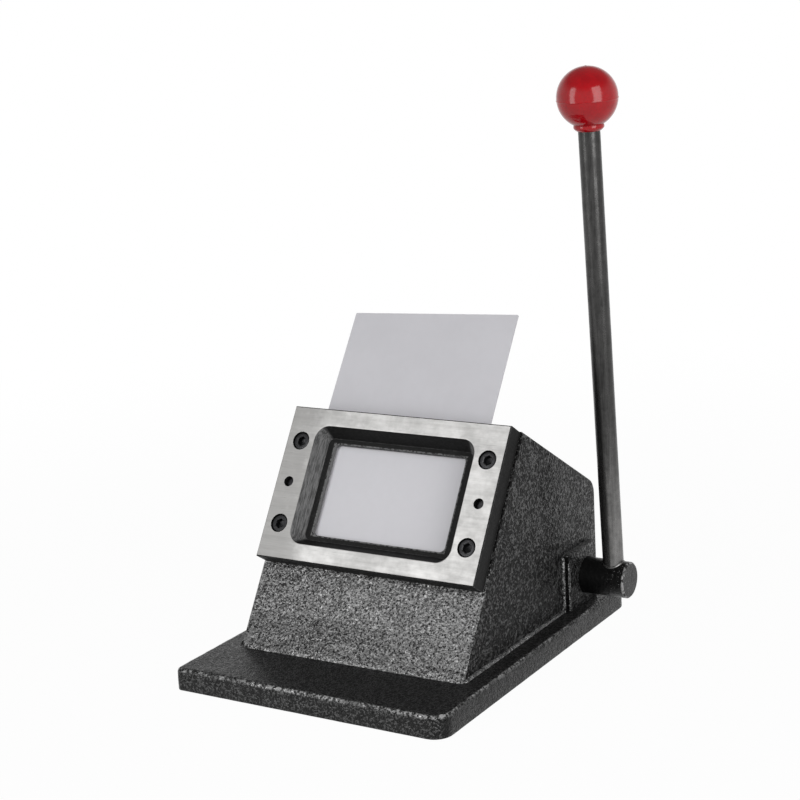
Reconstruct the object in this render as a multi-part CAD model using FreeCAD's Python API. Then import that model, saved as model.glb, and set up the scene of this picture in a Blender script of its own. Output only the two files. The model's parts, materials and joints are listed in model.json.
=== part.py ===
"""Desk-top card cutter: a hand lever turns a cam that drives a card-shaped punch through a die.

Millimetres. +Z is up, +X is the lever side and the die faces -Y.
The origin is the centre of the base plate's underside.

Two more frames are used. In the die frame X is the same, Y runs up the leaning die plate and Z points out
of its face, from the centre of the die plate's rear face. The cam frame has the same directions and starts
on the cross shaft's axis.
"""
import FreeCAD, Part
import math
import os

V = FreeCAD.Vector
X_AXIS = V(1, 0, 0)
Y_AXIS = V(0, 1, 0)
Z_AXIS = V(0, 0, 1)

# ---------------------------------------------------------------- card and sheet
card_width = 85.6
card_height = 54.0
card_corner_radius = 3.18
card_thickness = 0.76
card_clearance = 0.1
sheet_side_margin = 10.4
sheet_foot_margin = 6.0
sheet_stand_out = 68.4
sheet_tilt_deg = 2.5
sheet_shift = -0.5
sheet_bend_deg = 6.0
sheet_bend_radius = 50.0
sheet_bend_drop = 1.5
sheet_hole_clearance = 0.15
sheet_corner_radius = 0.8

# ---------------------------------------------------------------- die plate
die_lean_deg = 33.0
land_thickness = 2.6
pocket_depth = 8.7
pocket_side_margin = 8.9
pocket_end_margin = 7.75
pocket_corner_radius = 8.5
pocket_edge_radius = 0.8
pocket_draft = 4.6
die_rail_height = 10.05
die_side_inset = 1.5
die_edge_chamfer = 0.6
die_screw_inset_y = 2.5
die_screw_radius = 3.0
die_screw_play = 0.3
die_screw_head_radius = 5.0
die_screw_head_height = 6.0
die_screw_hex = 5.0
die_screw_engagement = 10.0
counterbore_play = 0.4
counterbore_recess = 0.6
dowel_outset = 1.0
dowel_radius = 3.0
dowel_recess = 3.0
dowel_chamfer = 0.4

# ---------------------------------------------------------------- sheet slot and guide plate
slot_gap = 1.4
slot_side_clearance = 0.35
sheet_face_clearance = 0.3
sheet_stop_clearance = 0.3
spacer_strip_width = 8.7
spacer_side_clearance = 0.3
guide_plate_thickness = 12.0
guide_lead_in = 1.5
fit_clearance = 0.02
screw_head_edge = 0.5
screw_socket_share = 0.6

# ---------------------------------------------------------------- punch and ram
punch_clearance = 0.05
guide_hole_clearance = 0.08
punch_setback = 0.1
spring_gap = 16.0
ram_plate_thickness = 16.0
ram_side_wall = 2.5
ram_corner_radius = 4.0
punch_screw_inset_x = 12.8
punch_screw_inset_y = 11.0
punch_screw_radius = 3.0
punch_screw_head_radius = 5.0
punch_screw_head_height = 6.0
punch_screw_engagement = 14.0
punch_screw_recess = 0.5

post_to_card = 4.2
post_radius = 5.0
post_front_recess = 0.6
post_thread_radius = 4.0
post_thread_length = 10.0
post_washer_rim = 5.0
post_washer_thickness = 1.6
post_nut_flats = 13.0
post_nut_height = 6.5
ram_bush_wall = 2.0
running_clearance = 0.05

spring_wire_radius = 0.9
spring_post_gap = 0.7
spring_pocket_play = 1.0
spring_pocket_depth = 6.0
spring_turns = 5.0

stop_head_radius = 5.0
stop_to_spring = 1.5
stop_shank_radius = 3.0
stop_shank_length = 10.0
stop_end_gap = 0.05

push_bar_width = 40.0
push_bar_height = 26.0
push_bar_edge_chamfer = 1.0
push_screw_head_gap = 1.0
push_screw_radius = 4.0
push_screw_head_radius = 6.5
push_screw_head_height = 8.0
push_screw_recess = 0.6
push_screw_engagement = 16.0
pad_thickness = 6.0
pad_screw_inset = 6.0
pad_screw_radius = 2.5
pad_screw_head_radius = 4.6
pad_screw_head_height = 2.6
pad_screw_hex = 3.0
pad_screw_length = 16.0
pad_screw_recess = 0.3

# ---------------------------------------------------------------- base plate
base_length = 220.0
base_thickness = 13.0
base_side_margin = 12.5
base_left_corner_radius = 3.0
base_right_corner_radius = 10.0
base_edge_radius = 1.6

# ---------------------------------------------------------------- housing
side_thickness = 6.5
front_panel_length = 48.4
front_panel_thickness = 6.0
front_step = 95.5
roof_thickness = 5.0
roof_slope_deg = 31.0
roof_corner_radius = 11.0
roof_lip_length = 9.6
side_above_die = 0.4
base_rear_margin = 14.6
weld_leg = 4.5
side_weld_leg = 2.5
boss_weld_leg = 2.0

rear_cover_thickness = 2.5
rear_cover_clearance = 0.2
rear_cover_floor_gap = 0.4
roof_lip_gap = 0.4
lug_width = 9.0
lug_depth = 6.0
lug_height = 7.0
cover_screw_radius = 1.5
cover_screw_length = 8.0
cover_screw_head_radius = 2.85
cover_screw_head_height = 1.65
cover_screw_hex = 2.0

# ---------------------------------------------------------------- cross shaft and cam
shaft_from_rear = 21.4
shaft_radius = 10.5
shaft_left_overhang = 5.0
shaft_end_chamfer = 0.8
lever_travel_deg = 62.0
cam_rise_radius = 9.0
cam_hub_wall = 3.5
cam_hub_floor_gap = 1.5
cam_heel_rise = 3.0
cam_clearance = 0.3
cam_heel_length = 4.0
cam_overrun_deg = 2.0
cam_curve_points = 13
key_width = 6.0
key_height = 6.0
key_end_inset = 3.0
key_shaft_depth = 3.5
key_top_clearance = 0.2
spacer_tube_wall = 2.5
spacer_end_clearance = 0.15
set_screw_radius = 2.5

boss_front_reach = 22.4
boss_rear_reach = 12.5
boss_top_reach = 18.0
boss_thickness = 4.0
boss_corner_radius = 2.0
boss_hole_clearance = 0.3
bush_wall = 2.0
bush_flange_rim = 1.0
bush_flange_thickness = 2.0
shaft_washer_rim = 3.4
shaft_washer_thickness = 1.5
circlip_width = 1.3
circlip_depth = 1.0
circlip_rim = 2.5
circlip_opening = 7.0
washer_face_clearance = 0.05

# ---------------------------------------------------------------- lever
rod_standoff = 17.3
rod_inset = 10.1
rod_radius = 6.0
rod_lean_deg = 3.4
rod_socket_floor = 3.0
lever_weld_rim = 1.2
lever_weld_throat = 0.4
lever_weld_height = 2.0
lever_weld_foot = 2.0
knob_distance = 275.5
knob_radius = 16.8
knob_neck_length = 1.0
knob_neck_wall = 1.8
knob_neck_chamfer = 1.6
spigot_radius = 5.0
spigot_length = 22.0
insert_wall = 1.5
insert_end = 2.0

# ---------------------------------------------------------------- how far cutting tools run past a face
overrun = 1.0

# ---------------------------------------------------------------- sizes across, from the card outwards
lean = math.radians(die_lean_deg)
tilt = math.radians(abs(sheet_tilt_deg))
pocket_width = card_width + 2 * pocket_side_margin
pocket_height = card_height + 2 * pocket_end_margin
die_height = pocket_height + 2 * die_rail_height
sheet_width = card_width + 2 * sheet_side_margin
sheet_bottom = -(card_height / 2 + sheet_foot_margin)
sheet_top = die_height / 2 + sheet_stand_out
sheet_drift = abs(sheet_shift) + die_height / 2 * math.sin(tilt)
slot_half = sheet_width / 2 + sheet_drift + slot_side_clearance
strip_outer = slot_half + spacer_strip_width
inner_half = strip_outer + spacer_side_clearance
housing_half = inner_half + side_thickness
boss_face_x = housing_half + boss_thickness
die_half = housing_half - die_side_inset
base_width = 2 * (housing_half + base_side_margin)
die_screw_x = slot_half + spacer_strip_width / 2
die_screw_y = card_height / 2 - die_screw_inset_y
die_screw_hole_radius = die_screw_radius + die_screw_play
counterbore_radius = die_screw_head_radius + counterbore_play
counterbore_depth = die_screw_head_height + counterbore_recess
dowel_x = die_screw_x + dowel_outset
post_x = card_width / 2 + post_to_card + post_radius
spring_coil_radius = post_radius + spring_post_gap + spring_wire_radius
spring_pocket_radius = spring_coil_radius + spring_wire_radius + spring_pocket_play
post_y = stop_head_radius + stop_to_spring + spring_coil_radius + spring_wire_radius
ram_bush_radius = post_radius + ram_bush_wall
ram_plate_width = 2 * (post_x + spring_pocket_radius + ram_side_wall)
ram_plate_height = card_height
punch_screw_x = card_width / 2 - punch_screw_inset_x
punch_screw_y = card_height / 2 - punch_screw_inset_y
cam_width = push_bar_width
key_length = cam_width - 2 * key_end_inset
pad_screw_x = push_bar_width / 2 - pad_screw_inset

# ---------------------------------------------------------------- places through the die set
die_thickness = pocket_depth + land_thickness
guide_front = -slot_gap
guide_rear = guide_front - guide_plate_thickness
punch_front = guide_front - punch_setback
ram_front = guide_rear - spring_gap
ram_rear = ram_front - ram_plate_thickness
punch_stroke = cam_rise_radius * math.radians(lever_travel_deg)

# ---------------------------------------------------------------- places in the side view
cam_hub_radius = shaft_radius + cam_hub_wall
cam_rest_lift = cam_hub_radius + cam_heel_rise
spacer_tube_radius = shaft_radius + spacer_tube_wall
bush_radius = shaft_radius + bush_wall
bush_flange_radius = bush_radius + bush_flange_rim
shaft_washer_radius = shaft_radius + shaft_washer_rim
circlip_radius = shaft_radius + circlip_rim
housing_rear_y = base_length / 2 - base_rear_margin
shaft_y = housing_rear_y - shaft_from_rear
shaft_z = base_thickness + cam_hub_radius + cam_hub_floor_gap
boss_front_y = shaft_y - boss_front_reach
boss_rear_y = shaft_y + boss_rear_reach
boss_top_z = shaft_z + boss_top_reach
die_centre_y = front_step - base_length / 2
die_centre_z = base_thickness + (front_panel_length + die_height / 2) * math.cos(lean)
die_up = V(0, math.sin(lean), math.cos(lean))
die_out = V(0, -math.cos(lean), math.sin(lean))
die_centre = V(0, die_centre_y, die_centre_z)
shaft_centre = V(0, shaft_y, shaft_z)
shaft_up = (shaft_centre - die_centre).dot(die_up)
shaft_out = (shaft_centre - die_centre).dot(die_out)
follower_face = shaft_out + cam_rest_lift + cam_clearance
cam_line = shaft_up + cam_rise_radius
die_tilt = FreeCAD.Rotation(X_AXIS, 90.0 - die_lean_deg)
die_frame = FreeCAD.Placement(die_centre, die_tilt)
cam_frame = FreeCAD.Placement(shaft_centre, die_tilt)
rear_cover_low_z = base_thickness + rear_cover_floor_gap

# ---------------------------------------------------------------- the lever's places
rod_x = boss_face_x + rod_standoff
shaft_right_end = rod_x + rod_inset
rod_lean = math.radians(rod_lean_deg)
rod_direction = V(0, -math.sin(rod_lean), math.cos(rod_lean))
rod_origin = V(rod_x, shaft_y, shaft_z)
rod_end = knob_distance - knob_radius - knob_neck_length
insert_radius = spigot_radius + insert_wall
insert_length = spigot_length + insert_end
knob_neck_radius = insert_radius + knob_neck_wall


# ---------------------------------------------------------------- helpers
def placed(shape, frame):
    """Return the shape moved from a local frame into the part's own frame."""
    moved = shape.copy()
    moved.Placement = frame.multiply(moved.Placement)
    return moved


def box(low, high):
    """Return a box between two opposite corners."""
    size = high - low
    return Part.makeBox(size.x, size.y, size.z, low)


def rod(radius, start, end):
    """Return a round bar between two points."""
    span = end - start
    return Part.makeCylinder(radius, span.Length, start, span)


def prism(points, low_x, high_x):
    """Return a polygon in the Y-Z plane, given as (y, z) pairs, extruded along X."""
    wire = Part.makePolygon([V(low_x, y, z) for y, z in points + points[:1]])
    return Part.Face(wire).extrude(V(high_x - low_x, 0, 0))


def rounded_slab(width, height, radius, low_z, high_z):
    """Return a centred slab with rounded corners, normal to Z."""
    slab = box(V(-width / 2, -height / 2, low_z), V(width / 2, height / 2, high_z))
    corners = [e for e in slab.Edges if abs(e.tangentAt(e.FirstParameter).z) > 0.99]
    return slab.makeFillet(radius, corners)


def drafted_slab(width, height, radius, low_z, high_z, narrowing):
    """Return a centred slab with rounded corners that is narrower all round at its low end."""
    outlines = []
    for inset, z in ((narrowing, low_z), (0, high_z)):
        slab = rounded_slab(width - 2 * inset, height - 2 * inset, radius - inset, z, z + 1.0)
        floor = [f for f in slab.Faces if f.BoundBox.ZMax < z + 0.01]
        outlines.append(floor[0].OuterWire)
    return Part.makeLoft(outlines, True, True)


def hexagon(flats, low_z, high_z, centre):
    """Return a hexagonal prism along Z, measured across its flats."""
    corner = flats / 2 / math.cos(math.radians(30))
    angles = [math.radians(60 * i) for i in range(7)]
    points = [V(centre[0] + corner * math.cos(a), centre[1] + corner * math.sin(a), low_z) for a in angles]
    return Part.Face(Part.makePolygon(points)).extrude(V(0, 0, high_z - low_z))


def corners_of(x, y):
    """Return the four corners of a centred rectangle of hole centres."""
    return [(sx * x, sy * y) for sx in (-1, 1) for sy in (-1, 1)]


def column(radius, centre, low_z, high_z):
    """Return a cylinder along Z between two heights."""
    return rod(radius, V(centre[0], centre[1], low_z), V(centre[0], centre[1], high_z))


def socket_screw(centre, under_head, tip, shank, head, head_height, hex_flats, outward):
    """Return a socket head cap screw along Z; outward is +1 when the head is on the +Z side."""
    top = under_head + outward * head_height
    body = column(shank, centre, min(tip, under_head), max(tip, under_head))
    cap = column(head, centre, min(under_head, top), max(under_head, top))
    rim = [e for e in cap.Edges if abs(e.CenterOfMass.z - top) < 0.01 and e.Closed]
    cap = cap.makeFillet(screw_head_edge, rim)
    floor = top - outward * head_height * screw_socket_share
    socket = hexagon(hex_flats, min(floor, top), max(floor, top), centre)
    return body.fuse(cap).removeSplitter().cut(socket)


def group(solids):
    """Return several separate solids as one node."""
    return Part.makeCompound(solids)


def mirror_x(shape):
    """Return the shape mirrored to the other side of the machine."""
    return shape.mirror(V(0, 0, 0), X_AXIS)


def die_plane_y(z):
    """Return Y where the plane of the die plate's rear face crosses height z."""
    return die_centre_y + (z - die_centre_z) * math.tan(lean)


def across(radius, near_x, far_x):
    """Return a round bar on the cross shaft's axis between two places in X."""
    return rod(radius, V(near_x, shaft_y, shaft_z), V(far_x, shaft_y, shaft_z))


# ---------------------------------------------------------------- base and housing
def base_plate():
    """Thick plate with rounded corners, larger on the lever side, and softened upper edges."""
    plate = box(V(-base_width / 2, -base_length / 2, 0), V(base_width / 2, base_length / 2, base_thickness))
    upright = [e for e in plate.Edges if e.BoundBox.ZLength > base_thickness / 2]
    left = [e for e in upright if e.CenterOfMass.x < 0]
    plate = plate.makeFillet(base_left_corner_radius, left)
    upright = [e for e in plate.Edges if e.BoundBox.ZLength > base_thickness / 2]
    right = [e for e in upright if e.CenterOfMass.x > base_width / 2 - 0.01]
    plate = plate.makeFillet(base_right_corner_radius, right)
    rim = [e for e in plate.Edges if e.BoundBox.ZMin > base_thickness - 0.01]
    return plate.makeFillet(base_edge_radius, rim)


def housing_outline():
    """Return the (y, z) corners of the side plate, clockwise from the front foot."""
    top_front = die_centre + die_up * (die_height / 2 + side_above_die)
    rear_top = top_front.z - (housing_rear_y - top_front.y) * math.tan(math.radians(roof_slope_deg))
    front_foot = die_plane_y(base_thickness)
    return [
        (front_foot, base_thickness),
        (top_front.y, top_front.z),
        (housing_rear_y, rear_top),
        (housing_rear_y, base_thickness),
    ]


def right_side_plate():
    """Side plate of the housing, with the hole for its bush."""
    outline = housing_outline()
    plate = prism(outline, inner_half, housing_half)
    corner = [e for e in plate.Edges if edge_runs_x_at(e, outline[2])]
    plate = plate.makeFillet(roof_corner_radius, corner)
    return plate.cut(across(bush_radius, inner_half - overrun, housing_half + overrun))


def edge_runs_x_at(edge, point):
    """Tell whether an edge runs along X through a (y, z) point."""
    centre = edge.BoundBox.Center
    straight = edge.BoundBox.YLength < 0.01 and edge.BoundBox.ZLength < 0.01
    return straight and abs(centre.y - point[0]) < 0.05 and abs(centre.z - point[1]) < 0.05


def front_panel():
    """Sloped panel below the die, between the side plates."""
    top = -die_height / 2
    foot = top - front_panel_length - front_panel_thickness
    panel = box(V(-inner_half, foot, -front_panel_thickness), V(inner_half, top, 0))
    panel = placed(panel, die_frame)
    under = box(V(-base_width, -base_length, -base_thickness), V(base_width, base_length, base_thickness))
    return panel.cut(under)


def roof_cover():
    """Sloped roof between the side plates, bent down into a short lip at the rear."""
    outline = housing_outline()
    slope = math.radians(roof_slope_deg)
    along = V(0, math.cos(slope), -math.sin(slope))
    inward = V(0, -math.sin(slope), -math.cos(slope))
    front_corner = V(0, outline[1][0], outline[1][1])
    rear_corner = V(0, outline[2][0], outline[2][1])
    guide_back = die_centre + die_out * guide_rear
    reach = (guide_back - front_corner).dot(die_out) / along.dot(die_out)
    start = front_corner + along * reach
    inner_reach = roof_thickness * inward.dot(die_out) / along.dot(die_out)
    start_inner = start + inward * roof_thickness - along * inner_reach
    lip_bottom = roof_lip_bottom()
    inner_y = housing_rear_y - roof_thickness
    drop = (inner_y - rear_corner.y - inward.y * roof_thickness) / along.y
    bend = rear_corner + inward * roof_thickness + along * drop
    corners = [
        (start.y, start.z),
        (rear_corner.y, rear_corner.z),
        (housing_rear_y, lip_bottom),
        (inner_y, lip_bottom),
        (bend.y, bend.z),
        (start_inner.y, start_inner.z),
    ]
    strip = prism(corners, -inner_half, inner_half)
    outer = [e for e in strip.Edges if edge_runs_x_at(e, corners[1])]
    strip = strip.makeFillet(roof_corner_radius, outer)
    inner = [e for e in strip.Edges if edge_runs_x_at(e, corners[4])]
    return strip.makeFillet(roof_corner_radius - roof_thickness, inner)


def roof_lip_bottom():
    """Return the height at which the roof's rear lip ends and the rear cover begins."""
    bend_drop = roof_corner_radius * math.tan(math.radians(90 - roof_slope_deg) / 2)
    return housing_outline()[2][1] - bend_drop - roof_lip_length


def cover_screw_places():
    """Return the (x, z) centres of the rear cover's four screws."""
    x = inner_half - lug_width / 2
    low = base_thickness + lug_height / 2
    high = roof_lip_bottom() - roof_lip_gap - lug_height / 2
    return [(sx * x, z) for sx in (-1, 1) for z in (low, high)]


def cover_lugs():
    """Four small blocks inside the side plates that take the cover's screws."""
    rear = housing_rear_y - rear_cover_thickness
    lugs = []
    for x, z in cover_screw_places():
        low = V(x - lug_width / 2, rear - lug_depth, z - lug_height / 2)
        high = V(x + lug_width / 2, rear, z + lug_height / 2)
        hole = rod(cover_screw_radius, V(x, rear - lug_depth - overrun, z), V(x, rear + overrun, z))
        lugs.append(box(low, high).cut(hole))
    return group(lugs)


def rear_cover():
    """Flat plate that closes the housing's rear, set in between the side plates."""
    half = inner_half - rear_cover_clearance
    front = housing_rear_y - rear_cover_thickness
    top = roof_lip_bottom() - roof_lip_gap
    plate = box(V(-half, front, rear_cover_low_z), V(half, housing_rear_y, top))
    for x, z in cover_screw_places():
        hole = rod(cover_screw_radius, V(x, front - overrun, z), V(x, housing_rear_y + overrun, z))
        plate = plate.cut(hole)
    return plate


def rear_cover_screws():
    """Four button head screws."""
    screws = []
    for x, z in cover_screw_places():
        face = V(x, housing_rear_y, z)
        shank = rod(cover_screw_radius, face - Y_AXIS * cover_screw_length, face)
        head = rod(cover_screw_head_radius, face, face + Y_AXIS * cover_screw_head_height)
        rim = [e for e in head.Edges if e.Closed and e.CenterOfMass.y > housing_rear_y + 0.5]
        head = head.makeFillet(cover_screw_head_height * 0.6, rim)
        socket = hexagon(cover_screw_hex, 0.0, cover_screw_head_height, (0, 0))
        socket.rotate(V(0, 0, 0), X_AXIS, -90)
        socket.translate(face + Y_AXIS * cover_screw_head_height * 0.4)
        screws.append(shank.fuse(head).removeSplitter().cut(socket))
    return group(screws)


def right_bearing_boss():
    """Pad outside the side plate that covers the bush and lets the shaft through."""
    pad = box(V(housing_half, boss_front_y, base_thickness), V(boss_face_x, boss_rear_y, boss_top_z))
    corners = [e for e in pad.Edges if edge_runs_x_at(e, (boss_front_y, boss_top_z))]
    corners += [e for e in pad.Edges if edge_runs_x_at(e, (boss_rear_y, boss_top_z))]
    pad = pad.makeFillet(boss_corner_radius, corners)
    hole_radius = shaft_radius + boss_hole_clearance
    return pad.cut(across(hole_radius, housing_half - overrun, boss_face_x + overrun))


def right_bush():
    """Flanged bronze bush through the side plate."""
    flange_face = inner_half - bush_flange_thickness
    sleeve = across(bush_radius, inner_half, housing_half)
    flange = across(bush_flange_radius, flange_face, inner_half)
    bore = across(shaft_radius + running_clearance, flange_face - overrun, housing_half + overrun)
    return sleeve.fuse(flange).removeSplitter().cut(bore)


def housing_welds():
    """Fillet beads between the housing and the base, and up the bosses' front edges."""
    foot = die_plane_y(base_thickness)
    half = housing_half
    rise_y = foot + weld_leg * math.sin(lean)
    rise_z = base_thickness + weld_leg * math.cos(lean)
    front = [(foot, base_thickness), (foot - weld_leg, base_thickness), (rise_y, rise_z)]
    beads = [prism(front, -half, half)]
    side = [V(half, foot, base_thickness), V(half + side_weld_leg, foot, base_thickness)]
    side.append(V(half, foot, base_thickness + side_weld_leg))
    side_bead = Part.Face(Part.makePolygon(side + side[:1])).extrude(V(0, boss_front_y - foot, 0))
    start_z = base_thickness + side_weld_leg
    edge = [V(half, boss_front_y, start_z), V(half + boss_weld_leg, boss_front_y, start_z)]
    edge.append(V(half, boss_front_y - boss_weld_leg, start_z))
    rise = boss_top_z - boss_corner_radius - start_z
    edge_bead = Part.Face(Part.makePolygon(edge + edge[:1])).extrude(V(0, 0, rise))
    for bead in (side_bead, edge_bead):
        beads.append(bead)
        beads.append(mirror_x(bead))
    return group(beads)


# ---------------------------------------------------------------- die set, in the die frame
def die_plate():
    """Front plate whose aperture is the cutting edge, with a pocket that gives access to the card."""
    plate = box(V(-die_half, -die_height / 2, 0), V(die_half, die_height / 2, die_thickness))
    rim = [e for e in plate.Edges if e.BoundBox.ZMin > die_thickness - 0.01]
    plate = plate.makeChamfer(die_edge_chamfer, rim)
    spread = pocket_draft * overrun / pocket_depth
    pocket_top = die_thickness + overrun
    top_width = pocket_width + 2 * spread
    top_height = pocket_height + 2 * spread
    top_radius = pocket_corner_radius + spread
    narrowing = pocket_draft + spread
    pocket = drafted_slab(top_width, top_height, top_radius, land_thickness, pocket_top, narrowing)
    aperture = rounded_slab(card_width, card_height, card_corner_radius, -overrun, land_thickness + overrun)
    plate = plate.cut(pocket).cut(aperture)
    inside = pocket_width / 2 + 0.1
    mouth = [e for e in plate.Edges if e.BoundBox.ZMin > die_thickness - 0.01 and e.BoundBox.XMax < inside]
    mouth = [e for e in mouth if e.BoundBox.XMin > -inside]
    plate = plate.makeFillet(pocket_edge_radius, mouth)
    for centre in corners_of(die_screw_x, die_screw_y):
        plate = plate.cut(column(die_screw_hole_radius, centre, -overrun, die_thickness))
        bore_floor = die_thickness - counterbore_depth
        plate = plate.cut(column(counterbore_radius, centre, bore_floor, die_thickness + overrun))
    for side in (-1, 1):
        centre = (side * dowel_x, 0)
        plate = plate.cut(column(dowel_radius + fit_clearance, centre, -overrun, die_thickness + overrun))
    return placed(plate, die_frame)


def die_screws():
    """Four socket head screws that clamp the die plate and the spacers to the guide plate."""
    under_head = die_thickness - counterbore_depth
    tip = guide_front - die_screw_engagement
    screws = []
    for centre in corners_of(die_screw_x, die_screw_y):
        screws.append(socket_screw(centre, under_head, tip, die_screw_radius, die_screw_head_radius,
                                   die_screw_head_height, die_screw_hex, 1))
    return placed(group(screws), die_frame)


def dowel_pins():
    """Two pins that line the die plate up with the guide plate."""
    pins = []
    for side in (-1, 1):
        centre = (side * dowel_x, 0)
        pin = column(dowel_radius, centre, guide_rear, die_thickness - dowel_recess)
        rim = [e for e in pin.Edges if e.Closed]
        pins.append(pin.makeChamfer(dowel_chamfer, rim))
    return placed(group(pins), die_frame)


def slot_spacers():
    """Two side strips and a bottom strip that set the sheet's slot and stop the sheet."""
    half = die_height / 2
    right = box(V(slot_half, -half, guide_front), V(strip_outer, half, 0))
    for sy in (-1, 1):
        centre = (die_screw_x, sy * die_screw_y)
        right = right.cut(column(die_screw_hole_radius, centre, guide_front - overrun, overrun))
    pin = (dowel_x, 0)
    right = right.cut(column(dowel_radius + fit_clearance, pin, guide_front - overrun, overrun))
    sheet_low = sheet_bottom - sheet_width / 2 * math.sin(tilt)
    stop = box(V(-slot_half, -half, guide_front), V(slot_half, sheet_low - sheet_stop_clearance, 0))
    return placed(group([mirror_x(right), right, stop]), die_frame)


def guide_plate():
    """Plate behind the slot that guides the punch and strips the sheet from it."""
    half = die_height / 2
    plate = box(V(-inner_half, -half, guide_rear), V(inner_half, half, guide_front))
    rim = [e for e in plate.Edges if e.BoundBox.ZMin > guide_front - 0.01 and e.BoundBox.YMin > half - 0.01]
    plate = plate.makeChamfer(guide_lead_in, rim)
    grow = 2 * (guide_hole_clearance - punch_clearance)
    corner = card_corner_radius + guide_hole_clearance - punch_clearance
    window = rounded_slab(card_width + grow, card_height + grow, corner, guide_rear - overrun, overrun)
    plate = plate.cut(window)
    for centre in corners_of(die_screw_x, die_screw_y):
        tip = guide_front - die_screw_engagement
        plate = plate.cut(column(die_screw_radius + fit_clearance, centre, tip, overrun))
    for side in (-1, 1):
        pin = (side * dowel_x, 0)
        plate = plate.cut(column(dowel_radius + fit_clearance, pin, guide_rear - overrun, 1))
    for centre in corners_of(post_x, post_y):
        plate = plate.cut(column(post_radius + fit_clearance, centre, guide_rear - overrun, 1))
    return placed(plate, die_frame)


def guide_posts():
    """Four posts pressed into the guide plate, with a threaded end."""
    posts = []
    for centre in corners_of(post_x, post_y):
        body = column(post_radius, centre, ram_rear, guide_front - post_front_recess)
        thread = column(post_thread_radius, centre, ram_rear - post_thread_length, ram_rear)
        posts.append(body.fuse(thread).removeSplitter())
    return placed(group(posts), die_frame)


def post_washers():
    """Washers on the posts' shoulders, against which the ram rests."""
    washers = []
    for centre in corners_of(post_x, post_y):
        low = ram_rear - post_washer_thickness
        disc = column(post_thread_radius + post_washer_rim, centre, low, ram_rear)
        bore = column(post_thread_radius + fit_clearance, centre, low - overrun, ram_rear + overrun)
        washers.append(disc.cut(bore))
    return placed(group(washers), die_frame)


def post_nuts():
    """Hexagon nuts on the posts' threads."""
    top = ram_rear - post_washer_thickness
    nuts = []
    for centre in corners_of(post_x, post_y):
        nut = hexagon(post_nut_flats, top - post_nut_height, top, centre)
        low = top - post_nut_height - 1
        nuts.append(nut.cut(column(post_thread_radius + fit_clearance, centre, low, top + overrun)))
    return placed(group(nuts), die_frame)


def return_springs():
    """Four coil springs round the posts, between the guide plate and the ram's pockets."""
    low = ram_front - spring_pocket_depth + spring_wire_radius
    high = guide_rear - spring_wire_radius
    pitch = (high - low) / spring_turns
    springs = []
    for centre in corners_of(post_x, post_y):
        path = Part.makeHelix(pitch, high - low, spring_coil_radius)
        section = Part.makeCircle(spring_wire_radius, V(spring_coil_radius, 0, 0), Y_AXIS)
        coil = Part.Wire(path.Edges).makePipeShell([Part.Wire([section])], True, True)
        coil.translate(V(centre[0], centre[1], low))
        springs.append(coil)
    return placed(group(springs), die_frame)


def punch():
    """Card-shaped punch that shears the card against the die's aperture."""
    width = card_width - 2 * punch_clearance
    height = card_height - 2 * punch_clearance
    block = rounded_slab(width, height, card_corner_radius - punch_clearance, ram_front, punch_front)
    for centre in corners_of(punch_screw_x, punch_screw_y):
        end = ram_front + punch_screw_engagement
        block = block.cut(column(punch_screw_radius + fit_clearance, centre, ram_front - overrun, end))
    return placed(block, die_frame)


def punch_screws():
    """Four socket head screws from behind, through the ram plate into the punch."""
    head_face = ram_rear + punch_screw_recess
    under_head = head_face + punch_screw_head_height
    tip = ram_front + punch_screw_engagement
    screws = []
    for centre in corners_of(punch_screw_x, punch_screw_y):
        screws.append(socket_screw(centre, under_head, tip, punch_screw_radius, punch_screw_head_radius,
                                   punch_screw_head_height, die_screw_hex, -1))
    return placed(group(screws), die_frame)


def ram_plate():
    """Moving plate that carries the punch and slides on the posts."""
    plate = rounded_slab(ram_plate_width, ram_plate_height, ram_corner_radius, ram_rear, ram_front)
    rear = ram_rear - overrun
    front = ram_front + overrun
    for centre in corners_of(post_x, post_y):
        plate = plate.cut(column(ram_bush_radius, centre, rear, front))
        pocket_floor = ram_front - spring_pocket_depth
        plate = plate.cut(column(spring_pocket_radius, centre, pocket_floor, front))
    for centre in corners_of(punch_screw_x, punch_screw_y):
        plate = plate.cut(column(punch_screw_radius + fit_clearance, centre, rear, front))
        floor = ram_rear + punch_screw_recess + punch_screw_head_height
        plate = plate.cut(column(punch_screw_head_radius + fit_clearance, centre, rear, floor))
    for centre in push_screw_places():
        plate = plate.cut(column(push_screw_radius + fit_clearance, centre, rear, front))
        floor = ram_front - push_screw_recess - push_screw_head_height
        plate = plate.cut(column(push_screw_head_radius + fit_clearance, centre, floor, front))
    for centre in stop_places():
        floor = ram_front - stop_shank_length
        plate = plate.cut(column(stop_shank_radius + fit_clearance, centre, floor, front))
    return placed(plate, die_frame)


def ram_bushes():
    """Four plain bronze bushes in the ram plate."""
    bushes = []
    for centre in corners_of(post_x, post_y):
        high = ram_front - spring_pocket_depth
        sleeve = column(ram_bush_radius, centre, ram_rear, high)
        bore = column(post_radius + running_clearance, centre, ram_rear - overrun, high + overrun)
        bushes.append(sleeve.cut(bore))
    return placed(group(bushes), die_frame)


def stop_places():
    """Return the centres of the two stroke stops, between the springs."""
    return [(-post_x, 0), (post_x, 0)]


def stroke_stops():
    """Two studs on the ram plate that meet the guide plate at the end of the stroke."""
    height = spring_gap - punch_stroke - stop_end_gap
    studs = []
    for centre in stop_places():
        head = column(stop_head_radius, centre, ram_front, ram_front + height)
        shank = column(stop_shank_radius, centre, ram_front - stop_shank_length, ram_front)
        studs.append(head.fuse(shank).removeSplitter())
    return placed(group(studs), die_frame)


def push_screw_places():
    """Return the centres of the push bar's two screws."""
    rise = push_screw_head_radius + push_screw_head_gap / 2
    return [(0, cam_line - rise), (0, cam_line + rise)]


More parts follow.
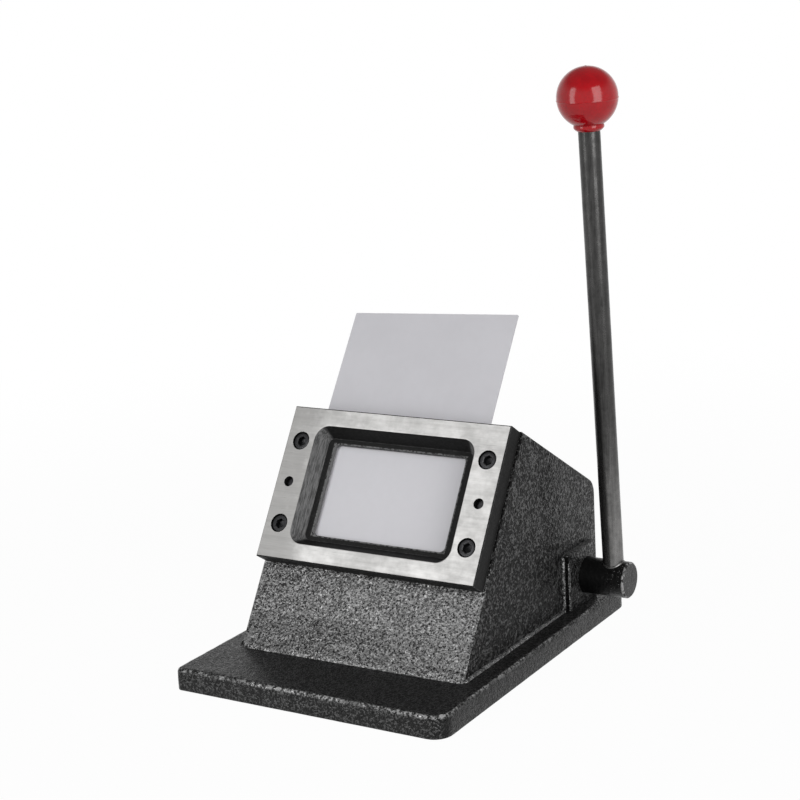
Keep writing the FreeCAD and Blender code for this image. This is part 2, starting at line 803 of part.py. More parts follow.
def pad_screw_places():
    """Return the centres of the follower pad's two screws."""
    return [(-pad_screw_x, cam_line), (pad_screw_x, cam_line)]


def push_bar():
    """Bar from the ram plate back to the cam."""
    half = push_bar_height / 2
    rear = follower_face + pad_thickness
    low = V(-push_bar_width / 2, cam_line - half, rear)
    bar = box(low, V(push_bar_width / 2, cam_line + half, ram_rear))
    long_edges = [e for e in bar.Edges if e.BoundBox.ZLength > e.BoundBox.XLength + e.BoundBox.YLength]
    bar = bar.makeChamfer(push_bar_edge_chamfer, long_edges)
    for centre in push_screw_places():
        end = ram_rear - push_screw_engagement
        bar = bar.cut(column(push_screw_radius + fit_clearance, centre, end, ram_rear + overrun))
    for centre in pad_screw_places():
        end = follower_face + pad_screw_length
        bar = bar.cut(column(pad_screw_radius + fit_clearance, centre, rear - overrun, end))
    return placed(bar, die_frame)


def push_bar_screws():
    """Two socket head screws from the front, under the punch, into the push bar."""
    under_head = ram_front - push_screw_recess - push_screw_head_height
    tip = ram_rear - push_screw_engagement
    screws = []
    for centre in push_screw_places():
        screws.append(socket_screw(centre, under_head, tip, push_screw_radius, push_screw_head_radius,
                                   push_screw_head_height, die_screw_hex, 1))
    return placed(group(screws), die_frame)


def follower_pad():
    """Hard pad on the push bar's end, on which the cam works."""
    half = push_bar_height / 2
    low = V(-push_bar_width / 2, cam_line - half, follower_face)
    pad = box(low, V(push_bar_width / 2, cam_line + half, follower_face + pad_thickness))
    for centre in pad_screw_places():
        floor = follower_face + pad_screw_recess + pad_screw_head_height
        through = follower_face + pad_thickness + 1
        pad = pad.cut(column(pad_screw_radius + fit_clearance, centre, follower_face - overrun, through))
        pad = pad.cut(column(pad_screw_head_radius + fit_clearance, centre, follower_face - overrun, floor))
    return placed(pad, die_frame)


def pad_screws():
    """Two low head screws, sunk below the pad's working face."""
    under_head = follower_face + pad_screw_recess + pad_screw_head_height
    tip = follower_face + pad_screw_length
    screws = []
    for centre in pad_screw_places():
        screws.append(socket_screw(centre, under_head, tip, pad_screw_radius, pad_screw_head_radius,
                                   pad_screw_head_height, pad_screw_hex, -1))
    return placed(group(screws), die_frame)


# ---------------------------------------------------------------- sheet and card, in the die frame
def bent_strip():
    """Return a strip of the sheet's thickness, far wider than the sheet, bent back above the die plate."""
    high = -sheet_face_clearance
    start = die_height / 2 - sheet_bend_drop
    centre_z = high - card_thickness - sheet_bend_radius
    turn = math.radians(sheet_bend_deg)

    def on_arc(radius, angle):
        """Return the point of the bend at a radius and an angle."""
        return V(-sheet_width, start + radius * math.sin(angle), centre_z + radius * math.cos(angle))

    outer = sheet_bend_radius + card_thickness
    straight = V(0, math.cos(turn), -math.sin(turn)) * sheet_top
    low_end = V(0, sheet_bottom - sheet_width, 0)
    edges = []
    for radius in (outer, sheet_bend_radius):
        first = on_arc(radius, 0.0)
        last = on_arc(radius, turn)
        edges.append(Part.Arc(first, on_arc(radius, turn / 2), last).toShape())
        edges.append(Part.LineSegment(last, last + straight).toShape())
        edges.append(Part.LineSegment(V(first.x, low_end.y, first.z), first).toShape())
    outer_low = V(-sheet_width, low_end.y, centre_z + outer)
    inner_low = V(-sheet_width, low_end.y, centre_z + sheet_bend_radius)
    edges.append(Part.LineSegment(outer_low, inner_low).toShape())
    outer_top = on_arc(outer, turn) + straight
    inner_top = on_arc(sheet_bend_radius, turn) + straight
    edges.append(Part.LineSegment(outer_top, inner_top).toShape())
    section = Part.Face(Part.Wire(Part.__sortEdges__(edges)))
    return section.extrude(V(2 * sheet_width, 0, 0))


def pvc_sheet():
    """Sheet in the slot, tilted a little in its play, open where the card is cut."""
    length = sheet_top - sheet_bottom
    outline = rounded_slab(sheet_width, length, sheet_corner_radius, -sheet_width, overrun)
    outline.translate(V(0, (sheet_top + sheet_bottom) / 2, 0))
    outline.rotate(V(0, 0, 0), Z_AXIS, sheet_tilt_deg)
    outline.translate(V(sheet_shift, 0, 0))
    grow = 2 * sheet_hole_clearance
    corner = card_corner_radius + sheet_hole_clearance
    low = -sheet_face_clearance - card_thickness - overrun
    hole = rounded_slab(card_width + grow, card_height + grow, corner, low, overrun)
    return placed(bent_strip().common(outline).cut(hole), die_frame)


def cut_card():
    """The card that the punch takes out of the sheet."""
    width = card_width - 2 * card_clearance
    height = card_height - 2 * card_clearance
    high = -sheet_face_clearance
    corner = card_corner_radius - card_clearance
    return placed(rounded_slab(width, height, corner, high - card_thickness, high), die_frame)


# ---------------------------------------------------------------- shaft and cam
def cross_shaft():
    """Shaft through both side plates, with a keyway, a circlip groove and the rod's socket."""
    body = across(shaft_radius, -boss_face_x - shaft_left_overhang, shaft_right_end)
    body = body.makeChamfer(shaft_end_chamfer, [e for e in body.Edges if e.Closed])
    low = V(-key_length / 2, shaft_radius - key_shaft_depth, -key_width / 2)
    keyway = box(low, V(key_length / 2, shaft_radius + overrun, key_width / 2))
    body = body.cut(placed(keyway, cam_frame))
    groove = circlip_ring(shaft_radius + overrun)
    socket = rod(rod_radius, along_rod(rod_socket_floor), along_rod(shaft_radius + rod_radius))
    return body.cut(groove).cut(socket)


def circlip_ring(outer_radius):
    """Return the ring that fills the shaft's circlip groove out to a radius."""
    right = -boss_face_x - washer_face_clearance - shaft_washer_thickness
    left = right - circlip_width
    ring = across(outer_radius, left, right)
    return ring.cut(across(shaft_radius - circlip_depth, left - overrun, right + overrun))


def shaft_circlip():
    """Open retaining ring in the shaft's groove."""
    ring = circlip_ring(circlip_radius)
    bounds = ring.BoundBox
    half = circlip_opening / 2
    slot = box(V(bounds.XMin - overrun, shaft_y - half, shaft_z - circlip_radius - overrun),
               V(bounds.XMax + overrun, shaft_y + half, shaft_z))
    return ring.cut(slot)


def shaft_washer():
    """Thrust washer between the left boss and the circlip."""
    right = -boss_face_x - washer_face_clearance
    left = right - shaft_washer_thickness
    disc = across(shaft_washer_radius, left, right)
    return disc.cut(across(shaft_radius + fit_clearance, left - overrun, right + overrun))


def cam_point(turn):
    """Return the cam's contact point after a turn in radians, in the cam frame at rest."""
    lift = cam_rest_lift + cam_rise_radius * turn
    y = cam_rise_radius * math.cos(turn) + lift * math.sin(turn)
    z = -cam_rise_radius * math.sin(turn) + lift * math.cos(turn)
    return V(-cam_width / 2, y, z)


def hub_tangent(point, side):
    """Return where a line from a point touches the cam's hub, on one side or the other."""
    distance = math.hypot(point.y, point.z)
    angle = math.atan2(point.z, point.y) + side * math.acos(cam_hub_radius / distance)
    return V(point.x, cam_hub_radius * math.cos(angle), cam_hub_radius * math.sin(angle))


def drive_cam():
    """Cam whose flat heel holds the lever up and whose involute lifts the follower evenly."""
    last = math.radians(lever_travel_deg + cam_overrun_deg)
    turns = [last * i / (cam_curve_points - 1) for i in range(cam_curve_points)]
    points = [cam_point(turn) for turn in turns]
    rise = Part.BSplineCurve()
    rise.interpolate(points)
    heel = V(-cam_width / 2, -cam_heel_length, cam_rest_lift)
    tip_tangent = hub_tangent(points[-1], -1)
    heel_tangent = hub_tangent(heel, 1)
    hub_bottom = V(-cam_width / 2, -cam_hub_radius * math.cos(math.radians(45)),
                   -cam_hub_radius * math.sin(math.radians(45)))
    edges = [
        rise.toShape(),
        Part.LineSegment(points[-1], tip_tangent).toShape(),
        Part.Arc(tip_tangent, hub_bottom, heel_tangent).toShape(),
        Part.LineSegment(heel_tangent, heel).toShape(),
        Part.LineSegment(heel, points[0]).toShape(),
    ]
    body = Part.Face(Part.Wire(edges)).extrude(V(cam_width, 0, 0))
    body = body.cut(rod(shaft_radius + fit_clearance, V(-cam_width, 0, 0), V(cam_width, 0, 0)))
    top = shaft_radius - key_shaft_depth + key_height + key_top_clearance
    body = body.cut(box(V(-cam_width, 0, -key_width / 2), V(cam_width, top, key_width / 2)))
    return placed(body, cam_frame)


def cam_key():
    """Parallel key between shaft and cam."""
    low = shaft_radius - key_shaft_depth
    key = box(V(-key_length / 2, low, -key_width / 2), V(key_length / 2, low + key_height, key_width / 2))
    return placed(key, cam_frame)


def spacer_span():
    """Return the near and far X of the right spacer tube."""
    return cam_width / 2, inner_half - bush_flange_thickness - spacer_end_clearance


def shaft_spacers():
    """Two tubes that keep the cam in the middle of the shaft."""
    near, far = spacer_span()
    tube = rod(spacer_tube_radius, V(near, 0, 0), V(far, 0, 0))
    tube = tube.cut(rod(shaft_radius + fit_clearance, V(near - overrun, 0, 0), V(far + overrun, 0, 0)))
    middle = (near + far) / 2
    hole = rod(set_screw_radius + fit_clearance, V(middle, 0, 0), V(middle, spacer_tube_radius + overrun, 0))
    tube = tube.cut(hole)
    return placed(group([tube, mirror_x(tube)]), cam_frame)


def spacer_set_screws():
    """One set screw in each spacer tube, flush with its outside."""
    near, far = spacer_span()
    middle = (near + far) / 2
    screw = rod(set_screw_radius, V(middle, shaft_radius, 0), V(middle, spacer_tube_radius, 0))
    screw = screw.cut(rod(shaft_radius + fit_clearance, V(near, 0, 0), V(far, 0, 0)))
    return placed(group([screw, mirror_x(screw)]), cam_frame)


# ---------------------------------------------------------------- lever
def along_rod(distance):
    """Return the point on the lever rod's axis at a distance from the shaft's axis."""
    return rod_origin + rod_direction * distance


def lever_rod():
    """Round rod with a threaded spigot for the knob."""
    body = rod(rod_radius, along_rod(rod_socket_floor), along_rod(rod_end))
    spigot = rod(spigot_radius, along_rod(rod_end), along_rod(rod_end + spigot_length))
    return body.fuse(spigot).removeSplitter()


def lever_weld():
    """Bead round the rod's foot on the shaft."""
    low = shaft_radius - lever_weld_foot
    high = shaft_radius + lever_weld_height
    wide = rod_radius + lever_weld_rim
    narrow = rod_radius + lever_weld_throat
    cone = Part.makeCone(wide, narrow, high - low, along_rod(low), rod_direction)
    shaft = across(shaft_radius, 0.0, shaft_right_end)
    core = rod(rod_radius, along_rod(0), along_rod(high + overrun))
    return cone.cut(shaft).cut(core)


def ball_knob():
    """Moulded ball with a short neck and a hole for its insert."""
    ball = Part.makeSphere(knob_radius, along_rod(knob_distance))
    collar = rod(knob_neck_radius, along_rod(rod_end), along_rod(knob_distance))
    rim = [e for e in collar.Edges if e.Closed and (e.CenterOfMass - along_rod(rod_end)).Length < 0.1]
    collar = collar.makeChamfer(knob_neck_chamfer, rim)
    hole = rod(insert_radius, along_rod(rod_end - overrun), along_rod(rod_end + insert_length))
    return ball.fuse(collar).removeSplitter().cut(hole)


def knob_insert():
    """Threaded brass insert moulded into the knob."""
    body = rod(insert_radius, along_rod(rod_end), along_rod(rod_end + insert_length))
    return body.cut(rod(spigot_radius, along_rod(rod_end - overrun), along_rod(rod_end + spigot_length)))


# ---------------------------------------------------------------- all nodes
def mirrored(builder):
    """Return a builder for the same piece on the left side."""
    return lambda: mirror_x(builder())


nodes = {
    "base_plate": base_plate,
    "right_side_plate": right_side_plate,
    "left_side_plate": mirrored(right_side_plate),
    "front_panel": front_panel,
    "roof_cover": roof_cover,
    "rear_cover": rear_cover,
    "rear_cover_screws": rear_cover_screws,
    "cover_lugs": cover_lugs,
    "housing_welds": housing_welds,
    "right_bearing_boss": right_bearing_boss,
    "left_bearing_boss": mirrored(right_bearing_boss),
    "right_bush": right_bush,
    "left_bush": mirrored(right_bush),
    "die_plate": die_plate,
    "die_screws": die_screws,
    "dowel_pins": dowel_pins,
    "slot_spacers": slot_spacers,
    "guide_plate": guide_plate,
    "guide_posts": guide_posts,
    "post_washers": post_washers,
    "post_nuts": post_nuts,
    "return_springs": return_springs,
    "punch": punch,
    "punch_screws": punch_screws,
    "ram_plate": ram_plate,
    "ram_bushes": ram_bushes,
    "stroke_stops": stroke_stops,
    "push_bar": push_bar,
    "push_bar_screws": push_bar_screws,
    "follower_pad": follower_pad,
    "pad_screws": pad_screws,
    "pvc_sheet": pvc_sheet,
    "cut_card": cut_card,
    "cross_shaft": cross_shaft,
    "shaft_circlip": shaft_circlip,
    "shaft_washer": shaft_washer,
    "drive_cam": drive_cam,
    "cam_key": cam_key,
    "shaft_spacers": shaft_spacers,
    "spacer_set_screws": spacer_set_screws,
    "lever_rod": lever_rod,
    "lever_weld": lever_weld,
    "ball_knob": ball_knob,
    "knob_insert": knob_insert,
}

os.makedirs("parts", exist_ok=True)
for name, builder in nodes.items():
    shape = builder()
    shape.exportStep("parts/" + name + ".step")
    print(name, len(shape.Solids), "solid(s)", round(shape.Volume / 1000, 2), "cm3", shape.isValid())
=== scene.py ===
"""Looks of the desk-top card cutter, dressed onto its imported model.

Everything is in metres and in the model's own frame: +Z is up, +X is the lever side, and the die faces -Y.
Small sizes are written in millimetres and multiplied by MM.
"""
import json
import logging
import math
from collections.abc import Callable, Sequence
from dataclasses import dataclass, field
from enum import Enum

import bmesh
import bpy
from mathutils import Matrix, Vector, noise


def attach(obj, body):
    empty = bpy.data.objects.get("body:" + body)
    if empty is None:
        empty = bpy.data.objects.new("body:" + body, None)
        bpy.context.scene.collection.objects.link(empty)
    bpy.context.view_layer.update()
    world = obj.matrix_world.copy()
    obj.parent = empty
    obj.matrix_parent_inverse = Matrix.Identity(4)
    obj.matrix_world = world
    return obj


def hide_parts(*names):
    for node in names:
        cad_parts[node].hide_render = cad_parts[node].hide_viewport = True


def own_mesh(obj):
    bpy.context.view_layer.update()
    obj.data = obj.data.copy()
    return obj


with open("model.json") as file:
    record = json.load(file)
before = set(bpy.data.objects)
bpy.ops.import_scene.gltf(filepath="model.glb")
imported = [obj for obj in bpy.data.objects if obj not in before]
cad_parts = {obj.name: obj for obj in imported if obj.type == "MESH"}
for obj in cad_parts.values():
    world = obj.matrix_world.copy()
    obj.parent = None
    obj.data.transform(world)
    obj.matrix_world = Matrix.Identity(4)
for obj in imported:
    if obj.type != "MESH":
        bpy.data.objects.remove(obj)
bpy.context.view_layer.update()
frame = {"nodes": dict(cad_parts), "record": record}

MM = 0.001
CLOSE = 0.01 * MM

log = logging.getLogger("card_cutter")

Rgb = tuple[float, float, float]
Point = tuple[float, float, float]
Shape = bmesh.types.BMesh
Thing = bpy.types.Object
Socket = bpy.types.NodeSocket
Outputs = bpy.types.NodeOutputs
Value = float | int | Sequence[float] | Socket

# The die plate leans back; its face looks along DIE_OUT and its long sides run up DIE_UP.
DIE_LEAN = math.radians(33.0)
DIE_CENTRE = Vector((0.0, -14.5 * MM, 91.16 * MM))
DIE_OUT = Vector((0.0, -math.cos(DIE_LEAN), math.sin(DIE_LEAN)))
DIE_UP = Vector((0.0, math.sin(DIE_LEAN), math.cos(DIE_LEAN)))
ACROSS = Vector((1.0, 0.0, 0.0))
BACK = Vector((0.0, 1.0, 0.0))
UP = Vector((0.0, 0.0, 1.0))
SHAFT_AXIS = Vector((0.0, 74.0 * MM, 28.5 * MM))
ROD_LEAN = math.radians(3.4)
ROD_UP = Vector((0.0, -math.sin(ROD_LEAN), math.cos(ROD_LEAN)))


class Body(Enum):
    """The bodies that the new pieces ride on."""

    FRAME = "frame"
    LEVER = "lever"


class Slot(Enum):
    """The record's material slots."""

    ENAMEL = "hammertone_paint"
    DIE_STEEL = "ground_die_steel"
    BLACK_OXIDE = "black_oxide"
    BRIGHT_STEEL = "bright_steel"
    TOOL_STEEL = "tool_steel"
    SPRING_STEEL = "spring_steel"
    BRONZE = "bronze"
    SHAFT_PAINT = "painted_shaft"
    LEVER_STEEL = "dark_lever_steel"
    PHENOLIC = "red_phenolic"
    BRASS = "brass"
    PVC = "white_pvc"


# ---------------------------------------------------------------- meshes
def polar(centre: Vector, first: Vector, second: Vector, radius: float, angle: float) -> Vector:
    """Give the point at an angle about a centre, turning from the first direction to the second."""
    return centre + first * (radius * math.cos(angle)) + second * (radius * math.sin(angle))


def full_turn(count: int) -> list[float]:
    """Give evenly spaced angles round a circle."""
    return [2 * math.pi * i / count for i in range(count)]


def quarter_round(radius: float, count: int) -> list[tuple[float, float]]:
    """Give the points of a quarter circle by how far they lie inside its two tangents."""
    turns = [math.pi / 2 * i / (count - 1) for i in range(count)]
    return [(radius * (1 - math.cos(a)), radius * (1 - math.sin(a))) for a in turns]


def loft(rings: Sequence[Sequence[Vector]], around: bool = False) -> Shape:
    """Skin a row of closed rings that all have the same number of points.

    Args:
        rings: The rings, in order along the shape.
        around: Whether the last ring joins the first, as in a torus; otherwise both ends are closed.

    Returns:
        The shape as a new bmesh.
    """
    shape = bmesh.new()
    rows = [[shape.verts.new(point) for point in ring] for ring in rings]
    for low, high in zip(rows, rows[1:] + rows[:1] if around else rows[1:]):
        for j in range(len(low)):
            k = (j + 1) % len(low)
            shape.faces.new((low[j], low[k], high[k], high[j]))
    if not around:
        shape.faces.new(list(reversed(rows[0])))
        shape.faces.new(rows[-1])
    return shape


def joined(shapes: Sequence[Shape]) -> Shape:
    """Put several shapes into one.

    Args:
        shapes: The shapes, which are freed.

    Returns:
        One bmesh that holds them all.
    """
    whole = bmesh.new()
    for shape in shapes:
        scratch = bpy.data.meshes.new("scratch")
        shape.to_mesh(scratch)
        shape.free()
        whole.from_mesh(scratch)
        bpy.data.meshes.remove(scratch)
    return whole


def mirrored(shape: Shape) -> Shape:
    """Give a copy of a shape on the other side of the machine.

    Args:
        shape: The shape, which stays as it is.

    Returns:
        The copy.
    """
    other = shape.copy()
    bmesh.ops.scale(other, vec=(-1.0, 1.0, 1.0), verts=other.verts)
    bmesh.ops.reverse_faces(other, faces=other.faces)
    return other


def piece(name: str, shape: Shape, crease_deg: float = 35.0) -> Thing:
    """Turn a shape into an object of the scene.

    Args:
        name: The piece's name.
        shape: Its mesh, which is freed.
        crease_deg: Edges sharper than this stay sharp.

    Returns:
        The new object.
    """
    bmesh.ops.recalc_face_normals(shape, faces=shape.faces)
    mesh = bpy.data.meshes.new(name)
    shape.to_mesh(mesh)
    shape.free()
    mesh.polygons.foreach_set("use_smooth", [True] * len(mesh.polygons))
    mesh.set_sharp_from_angle(angle=math.radians(crease_deg))
    thing = bpy.data.objects.new(name, mesh)
    bpy.context.scene.collection.objects.link(thing)
    return thing


def eased(node: str, *cuts: tuple[float, Callable[[Vector, Vector], bool]]) -> Shape:
    """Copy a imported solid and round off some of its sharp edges.

    Args:
        node: The solid's name.
        cuts: Each rounding's reach from the edge, and what tells from an edge's two ends whether it is rounded.

    Returns:
        The rounded copy.
    """
    shape = bmesh.new()
    shape.from_mesh(frame["nodes"][node].data)
    bmesh.ops.remove_doubles(shape, verts=shape.verts, dist=0.001 * MM)
    bmesh.ops.dissolve_limit(shape, angle_limit=math.radians(1.0), verts=shape.verts, edges=shape.edges)
    for radius, chosen in cuts:
        sharp = [e for e in shape.edges if e.is_manifold and e.calc_face_angle() > math.radians(30)]
        edges = [e for e in sharp if chosen(e.verts[0].co, e.verts[1].co)]
        bmesh.ops.bevel(shape, geom=edges, offset=radius, segments=4, profile=0.5, affect="EDGES",
                        clamp_overlap=True)
    return shape


# ---------------------------------------------------------------- shader graphs
class Graph:
    """A short way to add and join the nodes of one shader tree."""

    def __init__(self, tree: bpy.types.NodeTree) -> None:
        """Keep the tree that the nodes go into."""
        self.tree = tree

    def put(self, socket: Socket, value: Value) -> None:
        """Set a socket to a value, or link it to another socket.

        Args:
            socket: The input.
            value: A number, a vector, a colour or another node's output.
        """
        if isinstance(value, bpy.types.NodeSocket):
            self.tree.links.new(value, socket)
        elif isinstance(value, (int, float)) or len(value) == len(socket.default_value):
            socket.default_value = value
        else:
            socket.default_value = (*value, 1.0)

    def add(self, kind: str, inputs: dict[str | int, Value] | None = None, **settings: object) -> bpy.types.Node:
        """Add one node.

        Args:
            kind: The node's type, without its ShaderNode prefix.
            inputs: Values or sockets for its inputs.
            settings: Its own properties.

        Returns:
            The new node.
        """
        node = self.tree.nodes.new("ShaderNode" + kind)
        for name, setting in settings.items():
            setattr(node, name, setting)
        for name, value in (inputs or {}).items():
            self.put(node.inputs[name], value)
        return node

    def maths(self, operation: str, first: Value, second: Value = 0.0, third: Value = 0.0) -> Socket:
        """Add a Math node and give its result."""
        return self.add("Math", {0: first, 1: second, 2: third}, operation=operation).outputs[0]

    def times(self, first: Value, *others: Value) -> Socket:
        """Multiply values.

        Args:
            first: The first value.
            others: The values that it is multiplied by.

        Returns:
            The product.
        """
        for other in others:
            first = self.maths("MULTIPLY", first, other)
        return first

    def larger(self, first: Value, second: Value) -> Socket:
        """Give the larger of two values."""
        return self.maths("MAXIMUM", first, second)

    def less(self, first: Value, second: Value) -> Socket:
        """Take the second value from the first."""
        return self.maths("SUBTRACT", first, second)

    def shared(self, first: Value, second: Value, share: float) -> Socket:
        """Add up a share of one value and the rest of another."""
        return self.maths("MULTIPLY_ADD", first, share, self.times(second, 1.0 - share))

    def vector(self, operation: str, first: Value, second: Value = (0.0, 0.0, 0.0)) -> Socket:
        """Add a Vector Math node with two vectors and give its vector."""
        return self.add("VectorMath", {0: first, 1: second}, operation=operation).outputs["Vector"]

    def dot(self, first: Value, second: Vector) -> Socket:
        """Give how far a vector reaches along a direction."""
        return self.add("VectorMath", {0: first, 1: tuple(second)}, operation="DOT_PRODUCT").outputs["Value"]

    def length(self, first: Value) -> Socket:
        """Give a vector's length."""
        return self.add("VectorMath", {0: first}, operation="LENGTH").outputs["Value"]

    def scaled(self, colour: Value, gain: Value) -> Socket:
        """Make a colour darker or lighter."""
        return self.add("VectorMath", {0: colour, "Scale": gain}, operation="SCALE").outputs[0]

    def along(self, vector: Value, axis: str) -> Socket:
        """Give a vector's X, Y or Z."""
        return self.add("SeparateXYZ", {0: vector}).outputs[axis]

    def place(self) -> Socket:
        """Give a point's place in the part, in metres."""
        return self.add("TexCoord").outputs["Object"]

    def normal(self) -> Socket:
        """Give the surface's own normal."""
        return self.add("NewGeometry").outputs["Normal"]

    def spread(self, value: Value, low: float, high: float, start: float = 0.0, end: float = 1.0) -> Socket:
        """Map a value's range smoothly onto another range.

        Args:
            value: The value.
            low: The value that gives start.
            high: The value that gives end.
            start: The result below low.
            end: The result above high.

        Returns:
            The result.
        """
        inputs = {"Value": value, "From Min": low, "From Max": high, "To Min": start, "To Max": end}
        return self.add("MapRange", inputs, interpolation_type="SMOOTHSTEP").outputs[0]

    def under(self, value: Value, low: float, high: float) -> Socket:
        """Give 1 below a range, 0 above it, and a smooth fall between."""
        return self.spread(value, low, high, 1.0, 0.0)

    def tint(self, factor: Value, low: Value, high: Value) -> Socket:
        """Mix two colours by a factor."""
        return self.add("Mix", {0: factor, 6: low, 7: high}, data_type="RGBA").outputs[2]

    def scale(self, size: Value) -> Value:
        """Give a texture's scale from its size in metres."""
        return self.maths("DIVIDE", 1.0, size) if isinstance(size, bpy.types.NodeSocket) else 1.0 / size

    def clouds(self, where: Value, size: Value, detail: float = 3.0, rough: float = 0.55) -> Socket:
        """Add noise whose blots are about one size across.

        Args:
            where: The point, in metres.
            size: The blots' size, in metres.
            detail: How many finer layers it has.
            rough: How strong the finer layers are.

        Returns:
            The noise, about 0.5.
        """
        inputs = {"Vector": where, "Scale": self.scale(size), "Detail": detail, "Roughness": rough}
        return self.add("TexNoise", inputs).outputs["Fac"]

    def cells(self, where: Value, size: Value, soft: float) -> Socket:
        """Add smooth cells, and give how far a point is from its cell's middle."""
        inputs = {"Vector": where, "Scale": self.scale(size), "Smoothness": soft}
        return self.add("TexVoronoi", inputs, feature="SMOOTH_F1").outputs["Distance"]

    def relief(self, height: Socket, depth: float) -> Socket:
        """Turn a height from 0 to about 1 into the normal of a relief, its depth in metres."""
        return self.add("Bump", {"Strength": 1.0, "Distance": depth, "Height": height}).outputs[0]


def emptied(owner: bpy.types.Material | bpy.types.World) -> Graph:
    """Switch on the nodes of a material or a world, and take out those it starts with.

    Args:
        owner: The material or the world.

    Returns:
        Its graph, with nothing in it.
    """
    owner.use_nodes = True
    owner.node_tree.nodes.clear()
    return Graph(owner.node_tree)


@dataclass(frozen=True)
class Effect:
    """A shared shader group: its name, its inputs with their defaults, and what wires it."""

    name: str
    inputs: dict[str, Value]
    wire: Callable[[Graph, Outputs], dict[str, Socket]]

    def tree(self) -> bpy.types.NodeTree:
        """Give the group's tree, which is built once.

        Returns:
            The tree, with its sockets.
        """
        found = bpy.data.node_groups.get(self.name)
        if found:
            return found
        tree = bpy.data.node_groups.new(self.name, "ShaderNodeTree")
        for name, value in self.inputs.items():
            kind = "NodeSocketFloat" if isinstance(value, (int, float)) else "NodeSocketVector"
            tree.interface.new_socket(name=name, in_out="INPUT", socket_type=kind).default_value = value
        results = self.wire(Graph(tree), tree.nodes.new("NodeGroupInput").outputs)
        for name in results:
            tree.interface.new_socket(name=name, in_out="OUTPUT", socket_type="NodeSocketFloat")
        end = tree.nodes.new("NodeGroupOutput")
        for name, socket in results.items():
            tree.links.new(socket, end.inputs[name])
        return tree

    def on(self, graph: Graph, **values: Value) -> Outputs:
        """Place the effect in a graph; values sets its inputs by their names in small letters."""
        inputs = {name.replace("_", " ").title(): value for name, value in values.items()}
        return graph.add("Group", inputs, node_tree=self.tree()).outputs


def wire_hammer_skin(graph: Graph, given: Outputs) -> dict[str, Socket]:
    """Pull wet enamel into short worm-like ridges with small dark pits between them.

    Args:
        graph: The group's graph.
        given: The cells' size, how uneven the coat is, and how far light ground covers it.

    Returns:
        Height, the mask of the ridges' light crowns and the mask of the pits.
    """
    where, size = graph.place(), given["Cell Size"]
    off = graph.maths("ABSOLUTE", graph.less(graph.clouds(where, size, 1.0, 0.5), 0.5))
    ridge = graph.under(off, 0.0, 0.13)
    breaks = graph.spread(graph.clouds(where, graph.times(size, 0.62), 1.0), 0.40, 0.56)
    pits = graph.under(graph.cells(where, graph.times(size, 0.9), 0.1), 0.16, 0.34)
    broad = graph.clouds(where, graph.times(size, 3.2), 2.0)
    closed = graph.spread(graph.clouds(where, graph.times(size, 0.70), 2.0, 0.6), 0.40, 0.56)
    crown = graph.larger(graph.times(ridge, breaks), graph.times(closed, given["Cover"]))
    height = graph.maths("MULTIPLY_ADD", ridge, 0.45, graph.times(breaks, 0.35))
    height = graph.maths("MULTIPLY_ADD", pits, -0.5, height)
    height = graph.maths("MULTIPLY_ADD", broad, given["Unevenness"], height)
    return {"Height": height, "Crown": crown, "Pits": pits}


def wire_edge_wear(graph: Graph, given: Outputs) -> dict[str, Socket]:
    """Find the edges that hands and tools rub, broken up by patches.

    Args:
        graph: The group's graph.
        given: How far in from an edge the wear reaches, the patches' size, and how strong it is.

    Returns:
        The mask of the worn edges.
    """
    rounded = graph.add("Bevel", {"Radius": given["Reach"]}, samples=4).outputs[0]
    both = graph.add("VectorMath", {0: rounded, 1: graph.normal()}, operation="DOT_PRODUCT")
    edge = graph.spread(graph.less(1.0, both.outputs["Value"]), 0.004, 0.10)
    patches = graph.spread(graph.clouds(graph.place(), given["Patch Size"], 4.0, 0.65), 0.40, 0.62)
    worn = graph.times(edge, graph.maths("MULTIPLY_ADD", patches, 0.75, 0.25))
    return {"Mask": graph.times(worn, given["Amount"])}


def wire_grain(graph: Graph, given: Outputs) -> dict[str, Socket]:
    """Draw fine lines along one direction, as grinding, turning or drawing leaves them.

    Args:
        graph: The group's graph.
        given: How each direction is squeezed, and the lines' width.

    Returns:
        The lines, and rarer deep scratches.
    """
    where, width = graph.vector("MULTIPLY", graph.place(), given["Squeeze"]), given["Line Width"]
    lines = graph.clouds(where, width, 3.0, 0.7)
    broad = graph.clouds(where, graph.times(width, 7.0), 2.0, 0.5)
    return {"Lines": graph.spread(graph.shared(broad, lines, 0.45), 0.30, 0.70),
            "Scratches": graph.spread(lines, 0.66, 0.74)}


def wire_smudges(graph: Graph, given: Outputs) -> dict[str, Socket]:
    """Lay soft patches of handling and oil over a surface.

    Args:
        graph: The group's graph.
        given: The patches' size.

    Returns:
        The patches.
    """
    where, size = graph.place(), given["Patch Size"]
    large = graph.clouds(where, size, 4.0, 0.6)
    small = graph.clouds(where, graph.times(size, 0.18), 3.0, 0.6)
    return {"Patches": graph.spread(graph.shared(small, large, 0.35), 0.34, 0.66)}


def wire_beyond(graph: Graph, given: Outputs) -> dict[str, Socket]:
    """Mark what lies beyond a plane.

    Args:
        graph: The group's graph.
        given: The plane's normal and its distance from the origin.

    Returns:
        The mask, 1 beyond the plane.
    """
    reach = graph.add("VectorMath", {0: graph.place(), 1: given["Direction"]}, operation="DOT_PRODUCT")
    past = graph.less(reach.outputs["Value"], given["Distance"])
    return {"Mask": graph.spread(past, -0.05 * MM, 0.05 * MM)}


